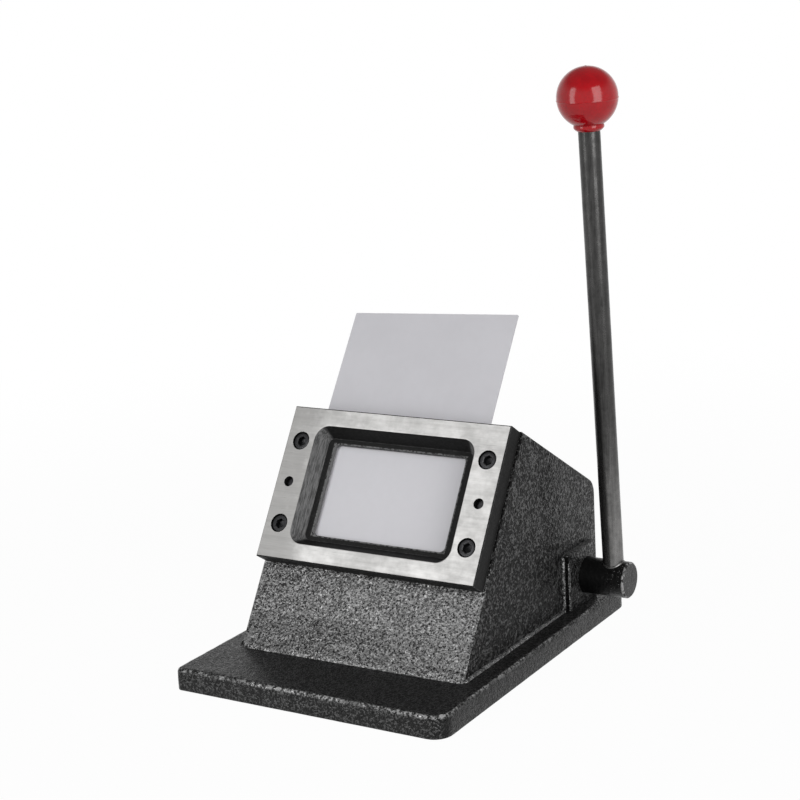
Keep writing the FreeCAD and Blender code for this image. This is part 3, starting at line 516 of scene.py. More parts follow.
HAMMER_SKIN = Effect("hammer_skin", {"Cell Size": 2.2 * MM, "Unevenness": 0.6, "Cover": 0.0}, wire_hammer_skin)
EDGE_WEAR = Effect("edge_wear", {"Reach": 0.6 * MM, "Patch Size": 6 * MM, "Amount": 1.0}, wire_edge_wear)
GRAIN = Effect("grain", {"Squeeze": (0.05, 1.0, 1.0), "Line Width": 0.3 * MM}, wire_grain)
SMUDGES = Effect("smudges", {"Patch Size": 12 * MM}, wire_smudges)
BEYOND = Effect("beyond", {"Direction": (0.0, 0.0, 1.0), "Distance": 0.0}, wire_beyond)


# ---------------------------------------------------------------- finishes
@dataclass(frozen=True)
class Finish:
    """A surface finish. Each kind says in surface() what goes into its shader."""

    name: str

    def material(self) -> bpy.types.Material:
        """Give the finish's material, which is built once.

        Returns:
            The material, wired by surface().
        """
        found = bpy.data.materials.get(self.name)
        if found:
            return found
        made = bpy.data.materials.new(self.name)
        graph = emptied(made)
        shader = graph.add("BsdfPrincipled", self.surface(graph))
        graph.add("OutputMaterial", {0: shader.outputs[0]})
        return made

    def surface(self, graph: Graph) -> dict[str, Value]:
        """Wire the finish in a material's graph, and give the values of its shader's inputs."""
        raise NotImplementedError


@dataclass(frozen=True)
class HammerEnamel(Finish):
    """Thick dark enamel that dries into short ridges, lighter and more metallic on their crowns."""

    pit: Rgb = (0.002, 0.002, 0.002)
    body: Rgb = (0.004, 0.004, 0.004)
    crown: Rgb = (0.098, 0.098, 0.098)
    cell: float = 2.6 * MM
    depth: float = 0.80 * MM
    waves: float = 2.2
    cover: float = 0.0
    roughness: float = 0.28
    flake: float = 1.0
    lacquer: float = 0.07
    sheen: float = 0.07
    wear: float = 0.5
    reach: float = 0.6 * MM
    wear_patch: float = 2 * MM
    smudge: float = 30 * MM
    smudge_dulling: float = 0.08
    lacquer_roughness: float = 0.16

    def surface(self, graph: Graph) -> dict[str, Value]:
        """Wire the enamel.

        Args:
            graph: The material's graph.

        Returns:
            The shader's inputs.
        """
        skin = HAMMER_SKIN.on(graph, cell_size=self.cell, unevenness=self.waves, cover=self.cover)
        # Edges take the crowns' lighter metallic colour: partly wear, partly painted highlight on the edges.
        edges = EDGE_WEAR.on(graph, reach=self.reach, patch_size=self.wear_patch, amount=self.wear)["Mask"]
        patches = SMUDGES.on(graph, patch_size=self.smudge)["Patches"]
        light = graph.larger(skin["Crown"], edges)
        closed = graph.less(1.0, skin["Pits"])
        colour = self.rubbed(graph, graph.tint(light, self.body, self.crown))
        return {
            "Base Color": graph.tint(skin["Pits"], colour, self.pit),
            "Metallic": graph.times(light, closed, self.flake),
            "Roughness": graph.spread(patches, 0.0, 1.0, self.roughness, self.roughness + self.smudge_dulling),
            "Coat Weight": graph.times(closed, self.lacquer),
            "Coat Roughness": self.lacquer_roughness,
            "Specular IOR Level": self.sheen,
            "Normal": graph.relief(skin["Height"], self.depth),
        }

    def rubbed(self, graph: Graph, colour: Socket) -> Socket:
        """Give the colour with the painted highlight and shade that a kind of enamel adds; plain enamel adds
        none.
        """
        return colour


@dataclass(frozen=True)
class BaseEnamel(HammerEnamel):
    """The enamel on the base plate, with painted highlight in spots along the top edge and painted shade on faces
    turned to the right.
    """

    crest_highlight: Rgb = (0.30, 0.30, 0.30)
    right_shade: float = 0.35
    crest_from: float = 10.2 * MM
    crest_full: float = 11.4 * MM
    spot: float = 1.8 * MM
    spot_group: float = 16 * MM
    least_group: float = 0.35

    def rubbed(self, graph: Graph, colour: Socket) -> Socket:
        """Paint highlight in spots on the rounding of the top edge, and shade on faces turned to the right.

        Args:
            graph: The material's graph.
            colour: The enamel's colour.

        Returns:
            The colour with its painted highlight and painted shade.
        """
        where, normal = graph.place(), graph.normal()
        high = graph.spread(graph.along(where, "Z"), self.crest_from, self.crest_full)
        sloped = graph.under(graph.along(normal, "Z"), 0.78, 0.95)
        spots = graph.spread(graph.clouds(where, self.spot, 2.0), 0.44, 0.56)
        groups = graph.spread(graph.clouds(where, self.spot_group, 2.0), 0.36, 0.56, self.least_group, 1.0)
        # Faces turned to the right are darkened: painted shade.
        right = graph.spread(graph.along(normal, "X"), 0.6, 0.95, 1.0, self.right_shade)
        # Spots on the top edge's rounding get the light crest colour: painted highlight.
        mask = graph.times(high, sloped, spots, groups, right)
        return graph.tint(mask, graph.scaled(colour, right), self.crest_highlight)


@dataclass(frozen=True)
class ShaftEnamel(Finish):
    """The shaft's smoother black paint, rubbed through at its end, and bare steel inside the housing."""

    paint: Rgb = (0.003, 0.003, 0.003)
    end_paint: Rgb = (0.004, 0.004, 0.004)
    steel: Rgb = (0.30, 0.30, 0.30)
    steel_dark: Rgb = (0.21, 0.21, 0.21)
    rim_radius: float = 9.6 * MM
    painted_from: float = 65.0 * MM
    end_face: float = 102.6 * MM
    cell: float = 3.0 * MM
    waves: float = 0.4
    depth: float = 0.09 * MM
    reach: float = 0.5 * MM
    wear: float = 0.8
    line: float = 0.4 * MM
    sheen: float = 0.25
    rim_band: float = 1.2 * MM
    rim_chip: float = 2.2 * MM
    speck: float = 0.7 * MM
    speck_from: float = 14 * MM
    speck_full: float = 4 * MM

    def surface(self, graph: Graph) -> dict[str, Value]:
        """Wire the paint and the steel under it.

        Args:
            graph: The material's graph.

        Returns:
            The shader's inputs.
        """
        skin = HAMMER_SKIN.on(graph, cell_size=self.cell, unevenness=self.waves)
        edges = EDGE_WEAR.on(graph, reach=self.reach, patch_size=2 * MM, amount=1.0)["Mask"]
        lines = GRAIN.on(graph, squeeze=(1.0, 0.3, 0.3), line_width=self.line)["Lines"]
        inside = BEYOND.on(graph, direction=tuple(-ACROSS), distance=-self.painted_from)["Mask"]
        face = BEYOND.on(graph, direction=tuple(ACROSS), distance=self.end_face)["Mask"]
        bare = graph.larger(inside, graph.times(edges, self.wear))
        colour = graph.tint(self.chips(graph), graph.tint(face, self.paint, self.end_paint), self.steel)
        return {
            "Base Color": graph.tint(bare, colour, graph.tint(lines, self.steel_dark, self.steel)),
            "Metallic": bare,
            "Roughness": graph.spread(lines, 0.0, 1.0, 0.30, 0.42),
            "Specular IOR Level": self.sheen,
            "Normal": graph.relief(graph.times(skin["Height"], graph.less(1.0, inside)), self.depth),
        }

    def chips(self, graph: Graph) -> Socket:
        """Mark small chips in the paint, most of them on the rim of the end face.

        Args:
            graph: The material's graph.

        Returns:
            The mask of the chips.
        """
        where = graph.place()
        off = graph.vector("MULTIPLY", graph.vector("SUBTRACT", where, tuple(SHAFT_AXIS)), (0.0, 1.0, 1.0))
        far = graph.spread(graph.length(off), self.rim_radius - 0.2 * MM, self.rim_radius)
        x = graph.along(where, "X")
        near = graph.spread(x, self.end_face - self.rim_band, self.end_face - self.rim_band + 0.4 * MM)
        rim = graph.times(far, near, graph.spread(graph.clouds(where, self.rim_chip, 2.0), 0.44, 0.58))
        outer = graph.spread(x, self.end_face - self.speck_from, self.end_face - self.speck_full)
        specks = graph.spread(graph.clouds(where, self.speck, 1.0), 0.66, 0.74)
        return graph.larger(rim, graph.times(specks, outer))


@dataclass(frozen=True)
class DieSteel(Finish):
    """Ground face on a plate whose sides and holes are blackened, and a rough milled pocket whose walls facing
    across get a lighter grey as painted light.
    """

    light: Rgb = (0.665, 0.66, 0.651)
    dull: Rgb = (0.44, 0.437, 0.43)
    dark_tint: Rgb = (0.16, 0.155, 0.15)
    black: Rgb = (0.004, 0.004, 0.004)
    black_crown: Rgb = (0.010, 0.010, 0.010)
    rub: Rgb = (0.13, 0.13, 0.13)
    milled: Rgb = (0.17, 0.17, 0.17)
    milled_dark: Rgb = (0.06, 0.06, 0.06)
    lip: Rgb = (0.15, 0.15, 0.15)
    lip_height: float = 3.4 * MM
    lip_width: float = 0.9 * MM
    card_half_x: float = 42.8 * MM
    card_half_up: float = 27.0 * MM
    face_height: float = 10.75 * MM
    rail_from: float = 36.0 * MM
    rail_to: float = 58.0 * MM
    pocket_half: float = 54.0 * MM
    fine_line: float = 0.35 * MM
    broad_line: float = 1.6 * MM
    smudge: float = 26 * MM
    smudge_share: float = 0.68
    rail_dimming: float = 0.55
    rail_darkening: float = 0.30
    line_stain: float = 0.17
    scratch_stain: float = 0.55
    cell: float = 2.0 * MM
    waves: float = 0.5
    depth: float = 0.08 * MM
    sheen: float = 0.16
    reach: float = 0.7 * MM
    wear_patch: float = 3 * MM
    wear: float = 0.6
    wall_metal: float = 0.25
    streak: float = 0.9 * MM
    streak_squeeze: float = 0.12
    lip_break: float = 1.4 * MM

    def surface(self, graph: Graph) -> dict[str, Value]:
        """Wire the ground face, the milled walls with their painted light, and the black sides.

        Args:
            graph: The material's graph.

        Returns:
            The shader's inputs.
        """
        where, normal = graph.place(), graph.normal()
        level = DIE_CENTRE.dot(DIE_OUT) + self.face_height
        high = BEYOND.on(graph, direction=tuple(DIE_OUT), distance=level)["Mask"]
        face = graph.times(high, graph.spread(graph.dot(normal, DIE_OUT), 0.78, 0.92))
        inside = graph.under(graph.maths("ABSOLUTE", graph.along(where, "X")), self.pocket_half,
                             self.pocket_half + 0.5 * MM)
        wall = graph.times(inside, graph.spread(graph.maths("ABSOLUTE", graph.along(normal, "X")), 0.25, 0.6))
        fine = GRAIN.on(graph, squeeze=(0.03, 1.0, 1.0), line_width=self.fine_line)
        patches = SMUDGES.on(graph, patch_size=self.smudge)["Patches"]
        skin = HAMMER_SKIN.on(graph, cell_size=self.cell, unevenness=self.waves)
        relief = graph.times(skin["Height"], graph.under(face, 0.0, 1.0))
        relief = graph.maths("MULTIPLY_ADD", fine["Lines"], -0.03, relief)
        rough = graph.spread(patches, 0.0, 1.0, 0.62, 0.56)
        dark, ground = self.dark(graph, skin["Crown"], wall), self.ground(graph, patches, fine)
        return {
            "Base Color": graph.tint(face, dark, ground),
            "Metallic": graph.larger(face, graph.times(wall, self.wall_metal)),
            "Roughness": graph.maths("MULTIPLY_ADD", fine["Lines"], 0.05, rough),
            "Specular IOR Level": self.sheen,
            "Normal": graph.relief(relief, self.depth),
        }

    def ground(self, graph: Graph, patches: Socket, fine: Outputs) -> Socket:
        """Colour the ground face, darker towards its left rail.

        Args:
            graph: The material's graph.
            patches: Soft patches.
            fine: The fine grain's lines and scratches.

        Returns:
            The colour.
        """
        broad = GRAIN.on(graph, squeeze=(0.10, 1.0, 1.0), line_width=self.broad_line)["Lines"]
        # The face is made darker towards its left rail.
        rail = graph.under(graph.along(graph.place(), "X"), -self.rail_to, -self.rail_from)
        even = graph.less(graph.shared(patches, broad, self.smudge_share), graph.times(rail, self.rail_dimming))
        colour = graph.tint(even, self.dull, self.light)
        for mask, strength in ((fine["Lines"], self.line_stain), (fine["Scratches"], self.scratch_stain),
                               (rail, self.rail_darkening)):
            colour = graph.tint(graph.times(mask, strength), colour, self.dark_tint)
        return colour

    def dark(self, graph: Graph, crown: Socket, wall: Socket) -> Socket:
        """Colour the black sides, the milled walls with their painted light, and the lip's painted highlight.

        Args:
            graph: The material's graph.
            crown: The light crowns of the black skin.
            wall: The mask of the pocket's walls.

        Returns:
            The colour.
        """
        where = graph.place()
        x, up, out = graph.along(where, "X"), graph.dot(where, DIE_UP), graph.dot(where, DIE_OUT)
        edges = EDGE_WEAR.on(graph, reach=self.reach, patch_size=self.wear_patch, amount=1.0)["Mask"]
        colour = graph.tint(crown, self.black, self.black_crown)
        colour = graph.tint(graph.times(edges, self.wear), colour, self.rub)
        lengthways = graph.add("CombineXYZ", {0: x, 1: out, 2: graph.times(up, self.streak_squeeze)}).outputs[0]
        streaks = graph.spread(graph.clouds(lengthways, self.streak, 3.0, 0.65), 0.34, 0.66)
        streaks = graph.maths("MULTIPLY_ADD", crown, 0.10, streaks)
        # Walls facing across get the lighter milled grey: its streaks are milling marks, its lightness is painted
        # light.
        colour = graph.tint(wall, colour, graph.tint(streaks, self.milled_dark, self.milled))
        # The lip round the opening gets a lighter colour: painted highlight.
        return graph.tint(self.lip_mask(graph, x, up, out), colour, self.lip)

    def lip_mask(self, graph: Graph, x: Socket, up: Socket, out: Socket) -> Socket:
        """Mark the lip round the card's opening, which gets a painted highlight.

        Args:
            graph: The material's graph.
            x: A point's place across the machine.
            up: Its place up the plate.
            out: Its place out of the plate.

        Returns:
            The mask, broken up by small patches.
        """
        beyond_x = graph.less(graph.maths("ABSOLUTE", x), self.card_half_x)
        middle = graph.maths("ABSOLUTE", graph.less(up, DIE_CENTRE.dot(DIE_UP)))
        away = graph.larger(beyond_x, graph.less(middle, self.card_half_up))
        level = DIE_CENTRE.dot(DIE_OUT) + self.lip_height
        broken = graph.spread(graph.clouds(graph.place(), self.lip_break, 2.0), 0.34, 0.60)
        return graph.times(graph.under(away, self.lip_width * 0.6, self.lip_width),
                           graph.under(out, level, level + 0.3 * MM), broken)


@dataclass(frozen=True)
class Machined(Finish):
    """Bare metal with tool marks along one direction, and rubbed edges."""

    light: Rgb
    dark: Rgb
    edge: Rgb
    roughness: float = 0.32
    metallic: float = 1.0
    squeeze: Point = (0.06, 1.0, 1.0)
    line: float = 0.35 * MM
    patch: float = 9 * MM
    wear: float = 0.8
    reach: float = 0.4 * MM
    wear_patch: float = 2 * MM
    line_share: float = 0.6
    depth: float = 0.004 * MM

    def surface(self, graph: Graph) -> dict[str, Value]:
        """Wire the metal.

        Args:
            graph: The material's graph.

        Returns:
            The shader's inputs.
        """
        lines = GRAIN.on(graph, squeeze=self.squeeze, line_width=self.line)["Lines"]
        patches = SMUDGES.on(graph, patch_size=self.patch)["Patches"]
        edges = EDGE_WEAR.on(graph, reach=self.reach, patch_size=self.wear_patch, amount=self.wear)["Mask"]
        mixed = graph.shared(lines, patches, self.line_share)
        metal = self.shaded(graph, graph.tint(mixed, self.dark, self.light))
        return {
            "Base Color": graph.tint(edges, metal, self.edge),
            "Metallic": self.metallic,
            "Roughness": graph.spread(patches, 0.0, 1.0, self.roughness + 0.09, self.roughness - 0.04),
            "Normal": graph.relief(lines, self.depth),
        }

    def shaded(self, graph: Graph, colour: Socket) -> Socket:
        """Give the colour with any change along the piece; plain metal has none."""
        return colour


@dataclass(frozen=True)
class RodSteel(Machined):
    """The lever's bar, lighter towards its foot: painted light."""

    foot_gain: float = 3.4
    full_gain_below: float = 50.0 * MM
    no_gain_above: float = 140.0 * MM

    def shaded(self, graph: Graph, colour: Socket) -> Socket:
        """Lighten the bar towards its foot: painted light."""
        height = graph.along(graph.place(), "Z")
        return graph.scaled(colour, graph.spread(height, self.full_gain_below, self.no_gain_above, self.foot_gain, 1.0))


@dataclass(frozen=True)
class Phenolic(Finish):
    """Glossy moulded resin."""

    bright: Rgb = (0.37, 0.002, 0.006)
    deep: Rgb = (0.31, 0.001, 0.005)
    smudge: float = 10 * MM
    flow: float = 7 * MM
    ripple: float = 2.5 * MM
    depth: float = 0.012 * MM
    sheen: float = 0.35

    def surface(self, graph: Graph) -> dict[str, Value]:
        """Wire the resin.

        Args:
            graph: The material's graph.

        Returns:
            The shader's inputs.
        """
        where, patches = graph.place(), SMUDGES.on(graph, patch_size=self.smudge)["Patches"]
        flow = graph.spread(graph.clouds(where, self.flow, 2.0), 0.3, 0.7)
        return {
            "Base Color": graph.tint(flow, self.deep, self.bright),
            "Roughness": graph.spread(patches, 0.0, 1.0, 0.10, 0.16),
            "Specular IOR Level": self.sheen,
            "Normal": graph.relief(graph.clouds(where, self.ripple, 1.0), self.depth),
        }


@dataclass(frozen=True)
class SheetPvc(Finish):
    """Matt white card stock."""

    light: Rgb = (0.57, 0.565, 0.594)
    shade: Rgb = (0.553, 0.548, 0.576)
    smudge: float = 25 * MM
    grain: float = 0.5 * MM
    depth: float = 0.004 * MM

    def surface(self, graph: Graph) -> dict[str, Value]:
        """Wire the plastic.

        Args:
            graph: The material's graph.

        Returns:
            The shader's inputs.
        """
        patches = SMUDGES.on(graph, patch_size=self.smudge)["Patches"]
        return {
            "Base Color": graph.tint(patches, self.shade, self.light),
            "Roughness": graph.spread(patches, 0.0, 1.0, 0.38, 0.46),
            "Normal": graph.relief(graph.clouds(graph.place(), self.grain, 2.0), self.depth),
        }


# A lighter, glossier copy of the hammertone enamel: painted light, worn by the front panel, the faces turned out
# or up, and the weld beads.
LIT_ENAMEL = HammerEnamel("hammertone_lit", crown=(0.24, 0.24, 0.24), cell=2.1 * MM, depth=0.60 * MM,
                            waves=2.6, cover=0.85, lacquer=0.25, sheen=0.20)
BASE_ENAMEL = BaseEnamel("hammertone_base", body=(0.006, 0.006, 0.006), crown=(0.085, 0.085, 0.085),
                         cell=2.0 * MM, depth=0.45 * MM, waves=1.4, lacquer=0.12, sheen=0.12)
# A darker, duller copy of the hammertone enamel: painted shade on the bosses' front faces.
SHADED_ENAMEL = HammerEnamel("hammertone_shaded", crown=(0.012, 0.012, 0.012), flake=0.2, lacquer=0.0, sheen=0.05)
LEVER_STEEL = RodSteel("drawn_bar_steel", (0.067, 0.066, 0.065), (0.008, 0.0079, 0.0077), (0.14, 0.14, 0.137),
                       roughness=0.28, metallic=0.8, squeeze=(1.0, 1.0, 0.015), line=0.9 * MM, patch=16 * MM,
                       depth=0.012 * MM)

FINISH_OF_SLOT: dict[Slot, Finish] = {
    Slot.ENAMEL: HammerEnamel("hammertone_enamel"),
    Slot.DIE_STEEL: DieSteel("ground_die_plate"),
    Slot.BLACK_OXIDE: Machined("blackened_screw_steel", (0.024, 0.024, 0.026), (0.008, 0.008, 0.009),
                               (0.16, 0.16, 0.16), roughness=0.36, metallic=0.7, squeeze=(1.0, 1.0, 1.0),
                               line=0.5 * MM, wear=0.5),
    Slot.BRIGHT_STEEL: Machined("bright_steel_stock", (0.62, 0.62, 0.62), (0.44, 0.44, 0.44), (0.80, 0.80, 0.80)),
    Slot.TOOL_STEEL: Machined("hardened_tool_steel", (0.42, 0.41, 0.40), (0.30, 0.29, 0.28), (0.62, 0.61, 0.60),
                              roughness=0.28, squeeze=(1.0, 0.06, 1.0)),
    Slot.SPRING_STEEL: Machined("spring_wire", (0.30, 0.30, 0.31), (0.18, 0.18, 0.19), (0.45, 0.45, 0.45),
                                roughness=0.34, squeeze=(1.0, 1.0, 1.0), line=0.6 * MM),
    Slot.BRONZE: Machined("bearing_bronze", (0.62, 0.40, 0.18), (0.45, 0.27, 0.11), (0.78, 0.55, 0.28),
                          roughness=0.36),
    Slot.SHAFT_PAINT: ShaftEnamel("shaft_enamel"),
    Slot.LEVER_STEEL: LEVER_STEEL,
    Slot.PHENOLIC: Phenolic("red_phenolic_resin"),
    Slot.BRASS: Machined("turned_brass", (0.76, 0.58, 0.26), (0.60, 0.43, 0.17), (0.88, 0.72, 0.40),
                         roughness=0.26, squeeze=(1.0, 1.0, 0.2)),
    Slot.PVC: SheetPvc("card_stock"),
}


def settle(thing: Thing, body: Body, slot: Slot, node: str, finish: Finish | None = None) -> Thing:
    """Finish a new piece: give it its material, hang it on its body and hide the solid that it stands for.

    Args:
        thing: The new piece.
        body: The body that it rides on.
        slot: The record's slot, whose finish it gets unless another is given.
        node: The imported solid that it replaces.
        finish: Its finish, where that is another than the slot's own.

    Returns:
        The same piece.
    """
    thing.data.materials.clear()
    thing.data.materials.append((finish or FINISH_OF_SLOT[slot]).material())
    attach(thing, body.value)
    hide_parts(node)
    log.info("%s rides on %s in %s", thing.name, body.value, slot.value)
    return thing


def coat(thing: Thing, finish: Finish, chosen: Callable[[bpy.types.MeshPolygon], bool]) -> None:
    """Give some faces of a piece another finish.

    Args:
        thing: The piece.
        finish: The finish.
        chosen: What tells whether a face gets it.
    """
    thing.data.materials.append(finish.material())
    for face in filter(chosen, thing.data.polygons):
        face.material_index = len(thing.data.materials) - 1


def dress_solids() -> None:
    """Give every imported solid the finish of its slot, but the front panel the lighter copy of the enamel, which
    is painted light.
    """
    slots = {row["node"]: Slot(row["material_slot"]) for row in frame["record"]["subparts"]}
    for name, node in frame["nodes"].items():
        # The front panel wears the lighter enamel copy: painted light.
        finish = LIT_ENAMEL if name == "front_panel" else FINISH_OF_SLOT[slots[name]]
        for place in node.material_slots:
            place.material = finish.material()
        log.info("%s is dressed in %s", name, slots[name].value)


# ---------------------------------------------------------------- housing
@dataclass
class Bead:
    """A straight welded bead in the corner between two faces.

    The two toes are directions from the corner, each as long as the bead's leg there. The first toe's leg
    changes along the bead to far_share of itself. An outline gives the section in shares of the two toes;
    without one it is an arc.
    """

    start: Vector
    end: Vector
    toe_a: Vector
    toe_b: Vector
    bulge: float = 0.26
    relief: float = 1.0
    pitch: float = 1.7 * MM
    step: float = 0.35 * MM
    section_points: int = 9
    far_share: float = 1.0
    end_share: float = 0.15
    ripple_lag: float = 0.45
    blot_size: float = 3.1 * MM
    lump_size: float = 6.0 * MM
    outline: Sequence[tuple[float, float]] = ()

    def section(self, along: float, length: float) -> list[Vector]:
        """Give the bead's outline at one place.

        Args:
            along: How far along the bead.
            length: The bead's whole length.

        Returns:
            The outline's points, the corner last.
        """
        toe = self.toe_a * (1.0 + (self.far_share - 1.0) * along / length)
        leg = toe.length
        near_end = max(0.0, min(along, length - along)) / leg
        swell = math.sqrt(max(0.0, 1.0 - (1.0 - min(1.0, near_end)) ** 2))
        swell = swell * (1.0 - self.end_share) + self.end_share
        corner = self.start.lerp(self.end, along / length)
        points = []
        count = len(self.outline) or self.section_points
        for i in range(count):
            t = i / (count - 1)
            lag = self.ripple_lag * self.pitch * math.sin(math.pi * t)
            ripple = ((along + lag) / self.pitch % 1.0) ** 1.6
            blot = noise.noise(Vector((along / self.blot_size, t * 2.0, leg / MM)))
            wave = 0.10 * (ripple - 0.5) + 0.07 * blot
            if self.outline:
                lump = noise.noise(Vector((along / self.lump_size, t * 5.0, 7.0))) * 0.10 + wave * 0.3
                out, rise = self.outline[i]
                points.append(corner + toe * (out * swell + lump * math.sin(math.pi * min(1.0, t + 0.25)))
                              + self.toe_b * (rise * swell + 0.4 * lump))
                continue
            high = math.sin(math.pi * t) * (self.bulge + self.relief * wave)
            away = (toe + self.toe_b).normalized() * (leg * high)
            points.append(corner + (toe.lerp(self.toe_b, t) + away) * swell * (1.0 + 0.05 * blot))
        points.append(corner)
        return points

    def shape(self) -> Shape:
        """Build the bead.

        Returns:
            Its sections, skinned from end to end.
        """
        length = (self.end - self.start).length
        count = max(2, round(length / self.step))
        return loft([self.section(length * i / count, length) for i in range(count + 1)])


@dataclass
class Housing:
    """Base plate, side plates, bosses and their welds."""

    base_half_x: float = 84.0 * MM
    base_half_y: float = 110.0 * MM
    base_top: float = 13.0 * MM
    left_corner: float = 3.0 * MM
    right_corner: float = 10.0 * MM
    least_corner: float = 0.4 * MM
    arc_steps: int = 12
    straight_steps: int = 220
    base_round: float = 2.4 * MM
    foot_round: float = 0.7 * MM
    edge_wobble: float = 0.22 * MM
    lump: float = 0.45 * MM
    lump_reach: float = 3.2 * MM
    side_face: float = 71.5 * MM
    panel_top: float = 60.0 * MM
    side_round: float = 0.9 * MM
    shaft_hole: float = 13.5 * MM
    boss_front: float = 51.6 * MM
    boss_top: float = 46.5 * MM
    boss_face: float = 75.5 * MM
    boss_round: float = 0.5 * MM
    boss_crown: float = 3.8 * MM
    panel_facing: float = 0.75
    front_facing: float = 0.8
    top_facing: float = 0.3
    weld_leg: float = 4.6 * MM
    front_rise: float = 4.5 * MM
    front_weld_inset: float = 2.5 * MM
    side_weld_leg: float = 1.5 * MM
    boss_weld_leg: float = 1.2 * MM
    boss_weld_end: float = 1.0 * MM
    boss_edge: float = 0.8 * MM
    skirt: tuple[tuple[float, float], ...] = (
        (0.97, -0.01), (1.02, 0.12), (1.02, 0.35), (0.98, 0.60), (0.92, 0.85), (0.84, 1.05), (0.75, 1.20),
        (0.70, 1.45), (0.63, 1.80), (0.52, 2.25), (0.40, 2.75), (0.27, 3.30), (0.14, 3.90), (0.04, 4.40),
        (-0.02, 4.80))

    def build(self) -> None:
        """Build and dress the housing."""
        self.add_piece("base_slab", self.base(), 40.0, "base_plate", BASE_ENAMEL)
        for side in ("right", "left"):
            plate = eased(f"{side}_side_plate", (self.side_round, self.on_side_face))
            bmesh.ops.bisect_plane(plate, geom=plate.verts[:] + plate.edges[:] + plate.faces[:],
                                   plane_co=UP * self.panel_top, plane_no=UP)
            cheek = self.add_piece(f"{side}_cheek", plate, 50.0, f"{side}_side_plate")
            # The cheeks' faces turned out like the die get the lighter enamel copy: painted light.
            coat(cheek, LIT_ENAMEL,
                 lambda f: f.normal.dot(DIE_OUT) > self.panel_facing and f.center.z < self.panel_top)
        for side in ("right", "left"):
            boss = eased(f"{side}_bearing_boss", (self.boss_crown, self.on_boss_top),
                         (self.boss_round, self.on_boss_face))
            block = self.add_piece(f"{side}_boss", boss, 50.0, f"{side}_bearing_boss")
            # The bosses' front faces get the dark enamel copy: painted shade.
            coat(block, SHADED_ENAMEL, lambda f: -f.normal.y > self.front_facing)
            # Their faces turned up get the lighter enamel copy: painted light.
            coat(block, LIT_ENAMEL, lambda f: f.normal.z > self.top_facing and -f.normal.y <= self.front_facing)
        # The beads wear the lighter enamel copy: painted light.
        self.add_piece("weld_beads", self.welds(), 60.0, "housing_welds", LIT_ENAMEL)

    @staticmethod
    def add_piece(name: str, shape: Shape, crease_deg: float, node: str, finish: Finish | None = None) -> Thing:
        """Add one painted piece of the frame."""
        return settle(piece(name, shape, crease_deg), Body.FRAME, Slot.ENAMEL, node, finish)

    def bounds_face(self, face: float, a: Vector, b: Vector) -> bool:
        """Tell whether an edge bounds the outer face at a distance from the middle, its shaft hole apart."""
        clear = all((Vector((0.0, p.y, p.z)) - SHAFT_AXIS).length > self.shaft_hole for p in (a, b))
        return clear and all(abs(abs(p.x) - face) < CLOSE for p in (a, b))

    def on_side_face(self, a: Vector, b: Vector) -> bool:
        """Tell whether an edge bounds a side plate's outer face, and isn't its foot."""
        high = min(a.z, b.z) > self.base_top + CLOSE or max(a.z, b.z) > self.base_top + 1 * MM
        return high and self.bounds_face(self.side_face, a, b)

    def on_boss_face(self, a: Vector, b: Vector) -> bool:
        """Tell whether an edge bounds a boss's outer face."""
        return self.bounds_face(self.boss_face, a, b)

    def on_boss_top(self, a: Vector, b: Vector) -> bool:
        """Tell whether an edge bounds a boss's outer face at its top."""
        return self.on_boss_face(a, b) and min(a.z, b.z) > self.boss_top - 0.1 * MM

    def base_ring(self, inset: float, z: float) -> list[Vector]:
        """Give one outline of the base plate.

        Args:
            inset: How far inside the plate's full outline it is.
            z: Its height.

        Returns:
            The outline's points, with a slight wobble of thick paint.
        """
        arcs = []
        corners = ((1, -1, self.right_corner), (1, 1, self.right_corner),
                   (-1, 1, self.left_corner), (-1, -1, self.left_corner))
        for i, (sx, sy, full) in enumerate(corners):
            radius = max(self.least_corner, full - inset)
            reach = inset + radius
            centre = Vector((sx * (self.base_half_x - reach), sy * (self.base_half_y - reach), z))
            turns = [-math.pi / 2 + (i + j / self.arc_steps) * math.pi / 2 for j in range(self.arc_steps + 1)]
            arcs.append([polar(centre, ACROSS, BACK, radius, a) for a in turns])
        points = []
        for arc, following in zip(arcs, arcs[1:] + arcs[:1]):
            points += arc
            points += [arc[-1].lerp(following[0], j / self.straight_steps) for j in range(1, self.straight_steps)]
        near_top = max(0.0, 1.0 - abs(self.base_top - self.base_round * 0.7 - z) / self.lump_reach)
        for point in points:
            dent = 0.5 + 0.5 * noise.noise(point / (7.0 * MM))
            lump = (0.5 + 0.5 * noise.noise(point / (1.5 * MM))) * near_top * self.lump
            inward = Vector((-point.x, -point.y, 0.0)).normalized()
            point += inward * (dent * self.edge_wobble + lump)
            point.z -= lump * 0.6
        return points

    def base(self) -> Shape:
        """Build the base plate with edges that thick paint has softened.

        Returns:
            The plate.
        """
        rings = [(inset, z) for z, inset in quarter_round(self.foot_round, 5)]
        rings += [(0.0, self.base_top * share) for share in (0.3, 0.5, 0.7)]
        rings += [(inset, self.base_top - drop) for inset, drop in quarter_round(self.base_round, 8)]
        rings.append((self.base_round + 1.5 * MM, self.base_top))
        return loft([self.base_ring(inset, z) for inset, z in rings])

